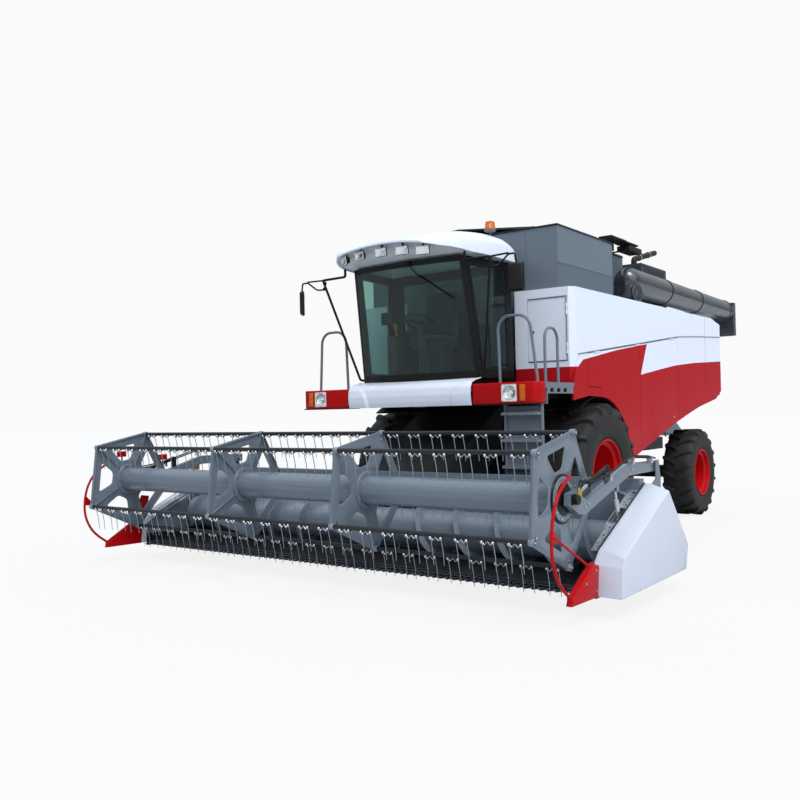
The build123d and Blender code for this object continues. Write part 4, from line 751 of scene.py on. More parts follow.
def build_wheel(name, body, centre, width, rim, dish, bolt_ring, side):
    """Pressed steel wheel: rim with rolled lips, a dished disc, its clamp bolts and the hub's cover."""
    lip = 0.43 * width + 0.012
    profile = [
        (lip, rim + 0.030), (lip + 0.006, rim + 0.024), (lip - 0.004, rim + 0.002), (lip - 0.05, rim - 0.008),
        (lip - 0.075, rim - 0.045), (dish + 0.05, rim - 0.052), (dish, rim - 0.058),
        (dish - 0.016, rim - 0.075), (dish - 0.020, rim - 0.12), (dish + 0.012, rim - 0.175),
        (dish + 0.014, bolt_ring - 0.07), (dish - 0.004, bolt_ring - 0.07), (dish - 0.006, rim - 0.175),
        (dish - 0.040, rim - 0.12), (dish - 0.040, rim - 0.042), (0.05 - lip, rim - 0.030),
        (0.012 - lip, rim - 0.008), (-lip, rim + 0.030), (0.008 - lip, rim + 0.030),
        (0.020 - lip, rim + 0.006),
        (0.06 - lip, rim - 0.014), (lip - 0.09, rim - 0.028), (lip - 0.058, rim + 0.002),
        (lip - 0.010, rim + 0.006), (lip - 0.008, rim + 0.030), (lip, rim + 0.030),
    ]
    finish(name, spun(sided(side, profile), centre, ACROSS, 64), red, body, [name], angle=32)
    x, y, z = centre

    def stub(height, near, far, radius, sides):
        """Short bar across the machine, its height over the axle and its ends from the wheel's middle."""
        return bar((x + side * near, y, z + height), (x + side * far, y, z + height), radius, sides=sides)

    face, circle = dish + 0.014, bolt_ring - 0.025
    stud = [stub(circle, face - 0.004, face + 0.022, 0.017, 6), stub(circle, face, face + 0.038, 0.009, 10)]
    finish(name + "_nuts", ring_of(joined(stud), 10, centre, ACROSS), bright_steel, body, angle=25)
    hub = bolt_ring - 0.055
    dome = [(dish - 0.06, hub), (dish + 0.05, hub), (dish + 0.058, hub - 0.008), (dish + 0.060, hub * 0.72),
            (dish + 0.085, hub * 0.66), (dish + 0.090, hub * 0.58), (dish + 0.092, 0.0)]
    cover = spun(sided(side, dome), centre, ACROSS, 40)
    cap_bolt = stub(hub * 0.86, dish + 0.055, dish + 0.070, 0.009, 6)
    finish(name + "_hub_cover", [cover] + ring_of(cap_bolt, 8, centre, ACROSS), red, body,
           angle=25)


def build_wheels():
    """Front and rear wheels on both sides, each tyre with 18 pairs of lugs."""
    lug_count = 18
    # name, x, y, radius, width, rim, dish, bolt ring, lug width and height
    for name, x, y, radius, width, rim, dish, ring, lug in (
        ("front", 1.375, 0.0, 0.920, 0.775, 0.435, -0.040, 0.235, (0.050, 0.046)),
        ("rear", 1.490, 3.82, 0.700, 0.470, 0.345, -0.020, 0.180, (0.042, 0.038)),
    ):
        for hand, side in BOTH:
            centre = Vector((side * x, y, radius))
            body = f"{name}_wheel_{hand}"
            build_tyre(f"tyre_{name}_{hand}", body, centre, radius, width, rim, lug_count, lug)
            build_wheel(f"wheel_{name}_{hand}", body, centre, width, rim, dish, ring, side)


# Reel

REEL_Y, REEL_Z, REEL_R = -3.82, 1.03, 0.60
REEL_HALF = 2.94
STAR_X = (-REEL_HALF, -0.86, 0.86, REEL_HALF)
BAR_COUNT = 5
BAR_ANGLES = [radians(-29.3 + 360 / BAR_COUNT * i) for i in range(BAR_COUNT)]


def reel_spot(angle, radius):
    """(y, z) round the reel's axis, turned up from straight ahead."""
    return (REEL_Y - radius * cos(angle), REEL_Z + radius * sin(angle))


def build_reel():
    """Reel: a big tube with flanged rings, and four stars of pressed plate with eased windows."""
    centre = Vector((0, REEL_Y, REEL_Z))
    tube_half = [(REEL_HALF, 0.03), (2.935, 0.135), (2.93, 0.14)]
    parts = [spun(both_ends(tube_half), centre, ACROSS, 56)]
    corner_reach, window_rim, window_foot = 0.634, 0.508, 0.25
    rim = rounded_loop([reel_spot(a, corner_reach) for a in BAR_ANGLES], 0.03, 2)
    windows = []
    for a in BAR_ANGLES:
        corners = []
        # degrees past the spoke, and whether the corner is near the rim
        for turn, at_rim in ((20, False), (13, True), (59, True), (52, False)):
            reach = window_rim * cos(radians(36)) / cos(radians(turn - 36))
            corners.append(reel_spot(a + radians(turn), reach if at_rim else window_foot))
        windows.append(rounded_loop(corners, 0.035))
    for x in STAR_X:
        parts.append(side_plate([rim] + windows, x, 0.010, 0.002))
        inward = -1 if x > 0 else 1
        for i, a in enumerate(BAR_ANGLES):
            # folded edge along each side of the star, and a rib down each spoke
            # both ends, offset from the plate, how much shorter, width and thickness
            after = BAR_ANGLES[(i + 1) % BAR_COUNT]
            edge = (reel_spot(a, 0.618), reel_spot(after, 0.618), 0.013, 0.07, 0.026, 0.006)
            rib = (reel_spot(a, 0.20), reel_spot(a, 0.565), 0.014, 0, 0.028, 0.005)
            for near, far, offset, shorter, wide, thick in (edge, rib):
                mid = Vector((x + inward * offset, (near[0] + far[0]) / 2, (near[1] + far[1]) / 2))
                run = Vector((0, far[0] - near[0], far[1] - near[1]))
                parts.append(strip(mid, run.normalized(), run.length - shorter, wide, thick))
        ring_half = [(0.026, 0.142), (0.026, 0.186), (0.022, 0.19)]
        parts.append(spun(both_ends(ring_half), centre + ACROSS * x, ACROSS, 48))
    finish("reel", parts, slate, "reel", ["reel"], angle=30)

    eyes, heads = [], []
    for x in STAR_X:
        for a in BAR_ANGLES:
            y, z = reel_spot(a, REEL_R)
            eye_half = [(0.026, 0.0235), (0.026, 0.029), (0.023, 0.031)]
            eyes.append(spun(both_ends(eye_half), (x, y, z), ACROSS, 16))
            side = 1 if x > 0 else -1
            heads.append(bar((x + side * 0.018, y, z), (x + side * 0.034, y, z), 0.015, 0.011, sides=10))
            by, bz = reel_spot(a, REEL_R - 0.06)
            heads.append(bolt((x + side * 0.006, by, bz), (side, 0, 0), 0.011))
        for k in range(10):
            by, bz = reel_spot(2 * pi * k / 10, 0.166)
            heads.append(bolt((x + 0.026, by, bz), ACROSS))
    finish("reel_bar_bearings", eyes, cast_grey, "reel")
    finish("reel_bolts", heads, bright_steel, "reel", angle=20)

    # black end discs and the stub shafts that turn in the arms
    ends = []
    profile = [(2.946, 0.03), (2.946, 0.205), (2.951, 0.210), (2.958, 0.206), (2.960, 0.15), (2.975, 0.10),
               (2.980, 0.031), (3.062, 0.0298), (3.062, 0.0)]
    for side in (-1, 1):
        ends.append(spun(sided(side, profile), centre, ACROSS, 40))
    finish("reel_end_discs", ends, cab_black, "reel")


def build_reel_bars():
    """Tine bars: a round tube and, every 254 mm, a sprung double tine under two bright dome nuts."""
    pitch, count, half, wire_radius = 0.254, 23, 0.0535, 0.0042
    first = -(count - 1) / 2 * pitch
    lean = radians(14)
    for i, a in enumerate(BAR_ANGLES):
        y, z = reel_spot(a, REEL_R)
        body = f"reel_bar_{i + 1}"
        pipe = spun(both_ends([(2.96, 0.0), (2.96, 0.018), (2.956, 0.0215)]), (0, y, z), ACROSS, 16)
        clamp = block((first - 0.066, y - 0.014, z - 0.030), (first + 0.066, y + 0.010, z - 0.012), 0.003, 1)
        row_of(clamp, count, pitch, 0, 0)
        finish(body, [pipe, clamp], bar_black, body, [body])

        wires, feet = [], []
        for hand in (-1, 1):
            top = Vector((first + hand * half, y - 0.012, z - 0.020))
            knee = top + Vector((0, sin(lean), -cos(lean))) * 0.13
            tip = knee + Vector((0, sin(lean * 0.4), -cos(lean * 0.4))) * 0.115
            feet.append(top)
            wires.append(bar(top, knee, wire_radius, sides=6))
            wires.append(bar(knee, tip, wire_radius, 0.003, sides=6))
        # the wire bends under the bar from one tine to the other
        start, end = feet
        sag = Vector((0, -0.004, -0.026))
        middle = (start + end) / 2 + Vector((0, -0.004, 0.004))
        points = (start, start + ACROSS * 0.024 + sag, middle, end - ACROSS * 0.024 + sag, end)
        for start, end in zip(points, points[1:]):
            wires.append(bar(start, end, 0.004, sides=6))
        wire = joined(wires)
        row_of(wire, count, pitch, 0, 0)
        finish(body + "_tines", wire, spring_steel, body)

        bushes = []
        for hand in (-1, 1):
            spot = (first + hand * half, y - 0.018, z - 0.024)
            deselect()
            bpy.ops.mesh.primitive_uv_sphere_add(segments=10, ring_count=6, radius=0.0145, location=spot)
            bushes.append(settle(bpy.context.object))
        bush = joined(bushes)
        row_of(bush, count, pitch, 0, 0)
        finish(body + "_bushes", bush, bright_steel, body)


# Header

AUGER_Y, AUGER_Z = -2.72, 0.52


def build_auger():
    """Header auger: a rolled drum with smooth helical flights that feed to the middle, and fingers."""
    centre = Vector((0, AUGER_Y, AUGER_Z))
    drum = spun(both_ends([(2.96, 0.032), (2.96, 0.19), (2.95, 0.20)]), centre, ACROSS, 56)
    shaft = spun(both_ends([(3.075, 0.0), (3.075, 0.030)]), centre, ACROSS, 20)
    fingers = []
    for i in range(12):
        turn = 2 * pi * i / 3
        x = 0.09 * (i - 5.5)
        way = Vector((0, cos(turn), sin(turn)))
        foot = Vector((x, AUGER_Y, AUGER_Z))
        fingers.append(bar(foot + way * 0.15, foot + way * 0.285, 0.008, 0.006, sides=10))
        fingers.append(bar(foot + way * 0.195, foot + way * 0.206, 0.026, 0.020, sides=12))
    finish("header_auger", [drum, shaft] + fingers, slate, "header_auger", ["header_auger"])
    flights = []
    inner_end, foot_radius, flight_height, turns, pitch, steps = 0.62, 0.196, 0.094, 4.6, 0.48, 130
    for side in (-1, 1):
        flight = begin_point((side * inner_end, AUGER_Y + foot_radius, AUGER_Z))
        drag_out((0, flight_height, 0))
        bpy.ops.object.mode_set(mode="OBJECT")
        deselect()
        bpy.ops.object.empty_add(location=centre)
        pivot = bpy.context.object
        apply_modifier(flight, "SCREW", axis="X", angle=2 * pi * turns, screw_offset=side * pitch * turns,
                       steps=steps, render_steps=steps, object=pivot)
        bpy.data.objects.remove(pivot)
        tidy_mesh(flight)
        apply_modifier(flight, "SOLIDIFY", thickness=0.006, offset=0)
        flights.append(flight)
    finish("auger_flights", flights, cast_grey, "header_auger", angle=50)


def build_cutter_bar():
    """Cutter bar: forged guards with their clips, hold-down plates and rail, and the knife between them."""
    pitch, count = 0.0762, 79
    first = -pitch * (count - 1) / 2
    guard_z, point_z = 0.190, 0.191
    guard = block((first - 0.013, -3.575, 0.178), (first + 0.013, -3.468, 0.202))
    for vertex in guard.data.vertices:
        if vertex.co.y < -3.55:
            vertex.co.x = first + (vertex.co.x - first) * 0.25
            vertex.co.z = point_z + (vertex.co.z - guard_z) * 0.35
    heel = block((first - 0.024, -3.490, 0.176), (first + 0.024, -3.452, 0.190), 0.002, 1)
    clip = block((first - 0.008, -3.535, 0.196), (first + 0.008, -3.470, 0.207), 0.002, 1)
    row = joined([guard, heel, clip])
    row_of(row, count, pitch, 0, 0)
    back = block((-3.06, -3.485, 0.174), (3.06, -3.448, 0.182), 0.002, 1)
    # slanted wear plates that hold the knife down, and their bolted rail on the floor's front edge
    held = block((first - 0.036, -3.452, 0.2005), (first + 0.036, -3.424, 0.213), 0.003, 1)
    held.data.transform(turned_about((first, -3.438, 0), radians(38), "Z"))
    row_of(held, count, pitch, 0, 0)
    rail = block((-3.05, -3.395, 0.2005), (3.05, -3.372, 0.224), 0.003, 1)
    finish("cutter_bar", [row, back, held, rail], cutter_steel, "feeder", ["cutter_bar"])
    section = block((first - 0.036, -3.548, 0.1925), (first + 0.036, -3.476, 0.1955))
    for vertex in section.data.vertices:
        if vertex.co.y < -3.54:
            vertex.co.x = first + (vertex.co.x - first) * 0.15
    row_of(section, count - 1, pitch, 0, 0)
    knife = finish("knife_sections", section, spring_steel, "feeder")
    knife.data.transform(Matrix.Translation((pitch / 2, 0, 0)))


def build_header_trim():
    """Header trim: galvanised side strips with holes and a folded edge, beam bolts, floor joint strips."""
    # strips level with the shrouds' rims, with a slot that the reel cylinder passes through
    front, rear = Vector((0, -3.41, 0.549)), Vector((0, -2.30, 1.034))
    run = (rear - front).normalized()
    length = (rear - front).length
    slot = rounded_loop([(0.47, 0.012), (0.74, 0.012), (0.74, 0.096), (0.47, 0.096)], 0.03)
    rim = [(0.0, 0.0), (length, 0.0), (length, 0.30), (1.10, 0.30), (0.98, 0.108), (0.42, 0.108),
           (0.36, 0.085), (0.0, 0.070)]
    # place along the strip, place up it, radius
    hole_places = [(0.06, 0.035, 0.009), (0.12, 0.052, 0.007), (0.19, 0.030, 0.009), (0.26, 0.050, 0.012),
                   (0.33, 0.030, 0.007),
                   (0.40, 0.045, 0.009), (0.80, 0.035, 0.012), (0.86, 0.070, 0.007), (0.93, 0.035, 0.009),
                   (1.04, 0.045, 0.018)]
    holes = [[(u + r * cos(t * pi / 4), v + r * sin(t * pi / 4)) for t in range(8)] for u, v,
             r in hole_places]
    holes.append(rounded_loop([(1.06, 0.14), (1.17, 0.10), (1.18, 0.24), (1.12, 0.25)], 0.02))
    strip_plate = plate([rim, slot] + holes, ACROSS * 3.073 + front, run, -ACROSS, 0.004, 0.001)
    fold = side_plate([[(-3.40, 0.515), (-3.40, 0.549), (-2.42, 0.977), (-2.42, 0.943)]], 3.001, 0.004)
    left_strip = joined([strip_plate, fold])
    for hand, piece in (("left", left_strip), ("right", mirrored(left_strip))):
        finish(f"side_strip_{hand}", piece, galvanised, "feeder")
    heads = [(x, -2.404, z) for x in (-2.4, -1.7, -1.0, 1.0, 1.7, 2.4) for z in (1.01, 1.05)]
    bolts("beam_bolts", heads, (0, -1, 0), "feeder", 0.012)
    seams = [block((x - 0.004, -3.44, 0.2005), (x + 0.004, -2.80, 0.2085), 0.001, 1)
             for x in (-2.0, -1.0, 0.0, 1.0, 2.0)]
    finish("floor_joint_strips", seams, cutter_steel, "feeder")


def build_dividers():
    """Crop dividers: red pressed noses with a folded rim, and the bent bows that part the crop."""
    for hand, side in BOTH:
        inner, outer = side * 3.0753, side * 3.1345
        x = (inner + outer) / 2
        loop = [(-3.5603, 0.19), (-3.5303, 0.45), (-3.64, 0.48), (-4.02, 0.275), (-4.06, 0.20)]
        nose = side_plate([loop], x, abs(outer - inner), 0.004)
        rim = tube([(x, -3.56, 0.468), (x, -3.645, 0.487), (x, -4.025, 0.279), (x, -4.062, 0.20)], 0.007,
                   0.02)
        bow_x = side * 3.105
        line = ((-4.01, 0.25), (-4.20, 0.36), (-4.335, 0.58), (-4.345, 0.80), (-4.28, 1.02), (-4.13, 1.18),
                (-3.98, 1.24))
        bow = tube([(bow_x, y, z) for y, z in line], 0.014, flowing=True)
        brace = tube([(bow_x, -4.33, 0.80), (bow_x, -3.66, 0.455)], 0.011)
        gusset = side_plate([[(-4.335, 0.74), (-4.335, 0.87), (-4.20, 0.735)]], bow_x, 0.008, 0.002)
        foot = block((bow_x - 0.025, -4.05, 0.225), (bow_x + 0.025, -3.96, 0.275), 0.006)
        stands_for = ["dividers"] if side > 0 else ()
        finish(f"divider_{hand}", [nose, rim, bow, brace, gusset, foot], red, "feeder",
               stands_for)
        heads = [(outer, y, z) for y, z in ((-3.60, 0.25), (-3.60, 0.42), (-3.80, 0.34))]
        bolts(f"divider_bolts_{hand}", heads, ACROSS * side, "feeder", 0.011)


def build_shrouds():
    """End shrouds: the left one bevelled like a folded box, with a dark seal at its inner edge."""
    rim = [(-3.560, 0.190), (-3.530, 0.450), (-3.410, 0.560), (-2.300, 1.045), (-1.880, 0.900),
           (-1.960, 0.190)]
    far = [(-3.575, 0.190), (-3.530, 0.440), (-3.505, 0.520), (-2.400, 0.995), (-1.900, 0.425),
           (-1.970, 0.190)]
    inner, bend, outer = 3.0755, 3.135, 3.35
    shell = side_plate([rim], (inner + bend) / 2, bend - inner)
    pick(shell)
    bpy.ops.object.mode_set(mode="EDIT")
    bpy.ops.mesh.select_all(action="DESELECT")
    bpy.ops.object.mode_set(mode="OBJECT")
    for face in shell.data.polygons:
        face.select = face.normal.x > 0.9
    bpy.ops.object.mode_set(mode="EDIT")
    bpy.ops.mesh.select_mode(type="FACE")
    bpy.ops.mesh.dissolve_faces()
    drag_out((outer - bend, 0, 0))
    bpy.ops.object.mode_set(mode="OBJECT")
    for vertex in shell.data.vertices:
        if vertex.co.x > outer - 0.01:
            near = min(range(len(rim)),
                       key=lambda k: (Vector(rim[k]) - Vector((vertex.co.y, vertex.co.z))).length)
            vertex.co.y, vertex.co.z = far[near]
    tidy_mesh(shell)
    round_edges(shell, 0.010, 3, 12)
    side = [(-3.560, 0.190), (-3.530, 0.450), (-3.410, 0.560), (-2.300, 1.045), (-2.030, 1.020),
            (-1.880, 0.900), (-1.960, 0.190)]
    flat = side_plate([side], -3.1305, 0.109, 0.008)
    # the shrouds take the darker white, which is painted shade
    finish("shrouds", [shell, flat], shroud_shaded_white, "feeder", ["shrouds"], angle=30)
    seal = [(y - 0.004 if y < -3.4 else y, z + 0.005) for y, z in rim[:4]]
    pieces = [tube([(3.0765, y, z) for y, z in seal], 0.006, 0.03)]
    finish("shroud_seal", pieces, black_plastic, "feeder")


def build_arm_fittings():
    """Fittings of both arms: the reel's motors with their ports, hoses in clips, slide cylinders, bolts."""
    motor_profile = [(3.068, 0.0), (3.068, 0.038), (3.074, 0.042), (3.098, 0.042), (3.104, 0.036),
                     (3.104, 0.0)]
    cap_x, port_x, slide_x = 3.055, 3.085, 3.022
    for hand, side in BOTH:
        motor = spun(sided(side, motor_profile), (0, REEL_Y, REEL_Z), ACROSS, 24)
        low = (cap_x - 0.006, REEL_Y - 0.045, REEL_Z - 0.045)
        high = (cap_x + 0.006, REEL_Y + 0.045, REEL_Z + 0.045)
        cap = side_block(side, low, high, 0.004)
        finish(f"reel_motor_{hand}", [motor, cap], chassis_black, "reel_arms")
        ports = []
        x = side * port_x
        for y, z in ((-3.80, 1.075), (-3.76, 1.07)):
            ports.append(bar((x, y, z - 0.02), (x, y + 0.01, z + 0.03), 0.012, sides=6))
            ports.append(bar((x, y + 0.008, z + 0.02), (x, y + 0.02, z + 0.05), 0.009, sides=12))
        finish(f"reel_motor_ports_{hand}", ports, brass, "reel_arms")
        hoses = []
        for k in (0, 1):
            out, up = 3.075 + 0.022 * k, 0.015 * k
            line = [(port_x, -3.785 + 0.04 * k, 1.115), (out, -3.74 + 0.04 * k, 1.185),
                    (out, -3.55, 1.135 + 0.02 * k),
                    (out, -3.15, 1.19 + up), (out, -2.66, 1.315 + up), (out, -2.25, 1.29 + up),
                    (3.03 + 0.03 * k, -1.96, 1.268)]
            hoses.append(tube(sided(side, line), 0.0085, 0.05))
        finish(f"arm_hoses_{hand}", hoses, hose_black, "reel_arms")
        clip_x = side * 3.086
        clips = []
        for y, z in ((-3.15, 1.155), (-2.62, 1.265), (-2.15, 1.25)):
            clips.append(block((clip_x - 0.040, y - 0.014, z - 0.02), (clip_x + 0.020, y + 0.014, z + 0.05),
                               0.004))
        finish(f"hose_clips_{hand}", clips, bright_steel, "reel_arms")
        # slide cylinder on top of the arm, its bright rod to the front
        x = side * slide_x
        jack = [bar((x, -3.46, 1.130), (x, -3.06, 1.245), 0.024, sides=20, edge=0.003),
                bar((x, -3.475, 1.126), (x, -3.455, 1.132), 0.029, sides=12, edge=0.003),
                side_block(side, (3.000, -3.10, 1.13), (3.044, -3.04, 1.262), 0.006)]
        finish(f"slide_barrel_{hand}", jack, chassis_black, "reel_arms")
        stem = bar((x, -3.70, 1.062), (x, -3.47, 1.127), 0.015, sides=16)
        finish(f"slide_rod_{hand}", [stem], rod_chrome, "reel_arms")
        spots = [(3.0505, y, z) for y,
                 z in ((-3.60, 0.945), (-3.52, 0.965), (-2.62, 1.16), (-2.54, 1.19), (-2.0, 1.17))]
        bolts(f"arm_bolts_{hand}", sided(side, spots), ACROSS * side, "reel_arms", 0.012)


def build_far_arm_guards():
    """Painted guards on the right arm and its end wall that show past the reel."""
    guards = [block((-3.11, -3.88, 1.30), (-3.07, -3.76, 1.37), 0.008),
              block((-3.10, -3.27, 1.23), (-3.06, -3.14, 1.30), 0.008)]
    posts = [bar((-3.085, -3.82, 1.09), (-3.085, -3.82, 1.31), 0.010, sides=10),
             bar((-3.08, -3.20, 1.08), (-3.08, -3.20, 1.24), 0.010, sides=10)]
    finish("arm_marker_plates", guards, red, "reel_arms")
    finish("arm_marker_posts", posts, chassis_black, "reel_arms")
    guard = [block((-3.12, -2.72, 1.06), (-3.06, -2.60, 1.22), 0.010),
             block((-3.07, -2.69, 1.10), (-3.045, -2.63, 1.18), 0.004)]
    finish("drive_guard", guard, orange_paint, "reel_arms")
    panel_piece = side_plate([[(-3.66, 0.60), (-3.48, 0.60), (-3.44, 0.78), (-3.56, 0.80)]], -3.06, 0.006,
                             0.002)
    finish("end_wall_marker", panel_piece, red, "feeder")


# Cab

def brow_arch(x, y):
    """Rise of the roof's lower edge in the middle of its front."""
    rise, half_width, start, length = 0.085, 0.78, -2.15, 0.22
    return rise * max(0.0, 1 - (x / half_width) ** 2) * min(1.0, max(0.0, (start - y) / length))


def build_roof():
    """Cab roof: one moulded shell with a crowned top, an arched brow over the windshield and its liner.
    The lines are (y, height) of its top and lower edge, and (y, half width) of its plan."""
    top = ((-2.44, 3.675), (-2.41, 3.742), (-2.33, 3.806), (-2.15, 3.866), (-1.85, 3.922), (-1.45, 3.958),
           (-1.15, 3.950), (-1.0, 3.900), (-0.92, 3.78), (-0.89, 3.62))
    base = ((-2.44, 3.660), (-2.26, 3.655), (-1.95, 3.615), (-0.89, 3.602))
    half = ((-2.44, 0.60), (-2.38, 0.71), (-2.25, 0.83), (-2.08, 0.925), (-1.7, 0.995), (-1.2, 1.0),
            (-0.95, 0.995), (-0.89, 0.96))
    front, length = -2.44, 1.55
    shell = square_grid(28, 26)
    for vertex in shell.data.vertices:
        across, along = vertex.co.x * pi / 2, (vertex.co.y + 1) / 2
        y = front + length * (3 * along ** 2 - 2 * along ** 3)
        x = between(half, y) * (1 if across > 0 else -1) * abs(sin(across)) ** 0.55
        low = between(base, y) + brow_arch(x, y)
        high = max(between(top, y), low + 0.03)
        vertex.co = (x, y, low + (high - low) * max(0.0, cos(across)) ** 0.42)
    tidy_mesh(shell)
    apply_modifier(shell, "SOLIDIFY", thickness=0.022, offset=-1)
    finish("cab_roof", shell, white, "chassis", ["cab_roof"], angle=60)
    # light grey liner under the brow that the work lamps hang from
    liner = square_grid(24, 16)
    for vertex in liner.data.vertices:
        y = -2.42 + 0.66 * (vertex.co.y + 1) / 2
        x = vertex.co.x * (between(half, y) - 0.012)
        vertex.co = (x, y, between(base, y) + brow_arch(x, y) + 0.010)
    tidy_mesh(liner)
    apply_modifier(liner, "SOLIDIFY", thickness=0.008, offset=1)
    finish("brow_liner", liner, liner_grey, "chassis", angle=60)


def build_work_lamps():
    """Five work lamps under the brow: square housings, bright bowls and ribbed lenses."""
    housings, bowls, lenses = [], [], []
    # x, y, z, turn to the side in degrees
    lamps = ((-0.60, -2.365, 3.640, -32), (-0.33, -2.40, 3.662, -14), (0.0, -2.41, 3.664, 0),
             (0.30, -2.40, 3.650, 8), (0.57, -2.37, 3.622, 16))
    tilt = Matrix.Rotation(radians(8), 4, "X")
    for x, y, z, turn in lamps:
        turned = Matrix.Translation((x, y, z)) @ Matrix.Rotation(radians(turn), 4, "Z") @ tilt
        shell = block((-0.085, -0.002, -0.052), (0.085, 0.058, 0.052), 0.010)
        for vertex in shell.data.vertices:
            if vertex.co.y > 0.03:
                vertex.co.x *= 0.6
                vertex.co.z *= 0.6
        bracket = block((-0.012, 0.028, 0.030), (0.012, 0.044, 0.090), 0.002)
        front = block((-0.080, -0.010, -0.047), (0.080, -0.002, 0.047), 0.003)
        glass = block((-0.072, -0.016, -0.040), (0.072, -0.0105, 0.040), 0.002)
        for piece, group in ((shell, housings), (bracket, housings), (front, bowls), (glass, lenses)):
            piece.data.transform(turned)
            group.append(piece)
    finish("work_lamp_housings", housings, black_plastic, "chassis")
    finish("work_lamp_bowls", bowls, reflector, "chassis")
    finish("work_lamp_lenses", lenses, lens_clear, "chassis", ["lamps"])


def build_beacon():
    """Amber beacon: a post with its cup on the roof, a ribbed dome and the reflector in it."""
    middle, upright, lens_foot = (0.88, -1.38, 0), (0, 0, 1), 3.966
    foot = spun([(3.870, 0.0), (3.870, 0.030), (3.878, 0.032), (3.884, 0.011), (3.925, 0.010), (3.935, 0.050),
                 (3.950, 0.074), (lens_foot, 0.074), (lens_foot, 0.0)],
                middle, upright, 32)
    finish("beacon_base", foot, grey_plastic, "chassis")
    # ribbed lens, slightly tapered to its flat top
    ribs = [(lens_foot, 0.0), (lens_foot, 0.066)]
    for k in range(6):
        low = 3.970 + 0.013 * k
        ribs += [(low, 0.066 - 0.0016 * k), (low + 0.0065, 0.063 - 0.0016 * k)]
    dome = spun(ribs + [(4.052, 0.056), (4.060, 0.048), (4.060, 0.0)], middle, upright, 32)
    finish("beacon_dome", dome, lens_amber, "chassis")
    bulb = [(3.967, 0.0), (3.967, 0.032), (3.990, 0.030), (4.020, 0.018), (4.030, 0.0)]
    finish("beacon_reflector", spun(bulb, middle, upright, 20), reflector, "chassis")


def build_fascia():
    """Front fascia: a white apron with a shallow middle field, and red corner boxes with lamps."""
    # share of the apron's height, y, z
    profile = ((0.0, -1.945, 1.846), (0.12, -1.958, 1.90), (0.35, -1.966, 1.975), (0.55, -1.955, 2.06),
               (0.68, -1.925, 2.11), (0.82, -1.83, 2.145), (1.0, -1.722, 2.166))
    sweep = [(share, y) for share, y, z in profile]
    rise = [(share, z) for share, y, z in profile]
    half_width, foot = 0.915, 1.846
    apron = square_grid(130, 30)
    for vertex in apron.data.vertices:
        across, share = vertex.co.x * half_width, (vertex.co.y + 1) / 2
        y, z = between(sweep, share), between(rise, share)
        # shallow field between two quarter rounds
        edge = half_width - 0.28 * sqrt(max(0.0, 1 - ((z - foot) / 0.30) ** 2))
        depth = min(1.0, max(0.0, (edge - abs(across)) / 0.014))
        y += 0.026 * depth * (1 if share < 0.8 else max(0.0, (1 - share) / 0.2))
        z -= 0.010 * depth * max(0.0, (share - 0.6) / 0.4)
        vertex.co = (across, y + 0.05 * max(0.0, abs(across) - 0.86), z)
    tidy_mesh(apron)
    apply_modifier(apron, "SOLIDIFY", thickness=0.012, offset=1)
    finish("front_fascia", apron, white, "chassis", ["front_fascia"], angle=50)

    lamp_z, bowl_radius = 1.970, 0.082
    for hand, side in BOTH:
        plan = [(0.925, -1.945), (1.640, -1.945), (1.700, -1.925), (1.738, -1.870), (1.750, -1.800),
                (1.750, -1.720), (0.925, -1.720)]
        case = plate([sided(side, plan)], (0, 0, lamp_z), ACROSS, (0, 1, 0), 0.24)
        round_edges(case, 0.014, 3, 40)
        recess = side_block(side, (1.315, -1.97, 1.875), (1.505, -1.90, 2.065))
        apply_modifier(case, "BOOLEAN", object=recess, operation="DIFFERENCE")
        bpy.data.objects.remove(recess)
        arm = side_block(side, (0.62, -1.93, 2.01), (0.70, -1.505, 2.06), 0.004)
        finish(f"lamp_box_{hand}", [case, arm], red, "chassis")
        skirt = side_block(side, (0.93, -1.935, 1.838), (1.72, -1.73, 1.852), 0.003)
        finish(f"lamp_box_skirt_{hand}", skirt, black_plastic, "chassis")
        # square bezel, round bowl and bulb, clear cover
        x = side * 1.41
        frame_loop = rounded_loop([(x - 0.100, 1.872), (x + 0.100, 1.872), (x + 0.100, 2.068),
                                   (x - 0.100, 2.068)], 0.018)
        turns = [2 * pi * t / 24 for t in range(24)]
        eye = [(x + bowl_radius * cos(turn), lamp_z + bowl_radius * sin(turn)) for turn in turns]
        bezel = plate([frame_loop, eye], (0, -1.949, 0), ACROSS, (0, 0, 1), 0.010, 0.002)
        bowl = spun([(-1.945, bowl_radius), (-1.930, 0.076), (-1.916, 0.056), (-1.907, 0.028), (-1.906, 0.0)],
                    (x, 0, lamp_z), (0, 1, 0), 32)
        apply_modifier(bowl, "SOLIDIFY", thickness=0.002)
        bulb = spun([(-1.941, 0.0), (-1.939, 0.012), (-1.930, 0.020), (-1.926, 0.034), (-1.921, 0.036),
                     (-1.918, 0.014), (-1.907, 0.014)], (x, 0, lamp_z), (0, 1, 0), 16)
        finish(f"head_lamp_bowl_{hand}", [bezel, bowl, bulb], reflector, "chassis")
        cover = block((x - 0.094, -1.9575, 1.878), (x + 0.094, -1.9545, 2.062), 0.001, 1)
        finish(f"head_lamp_lens_{hand}", cover, lens_clear, "chassis")
        x = side * 1.5775
        lamp = block((x - 0.034, -1.9565, 1.878), (x + 0.034, -1.9455, 2.062), 0.004)
        finish(f"turn_lamp_{hand}", lamp, lens_amber, "chassis")


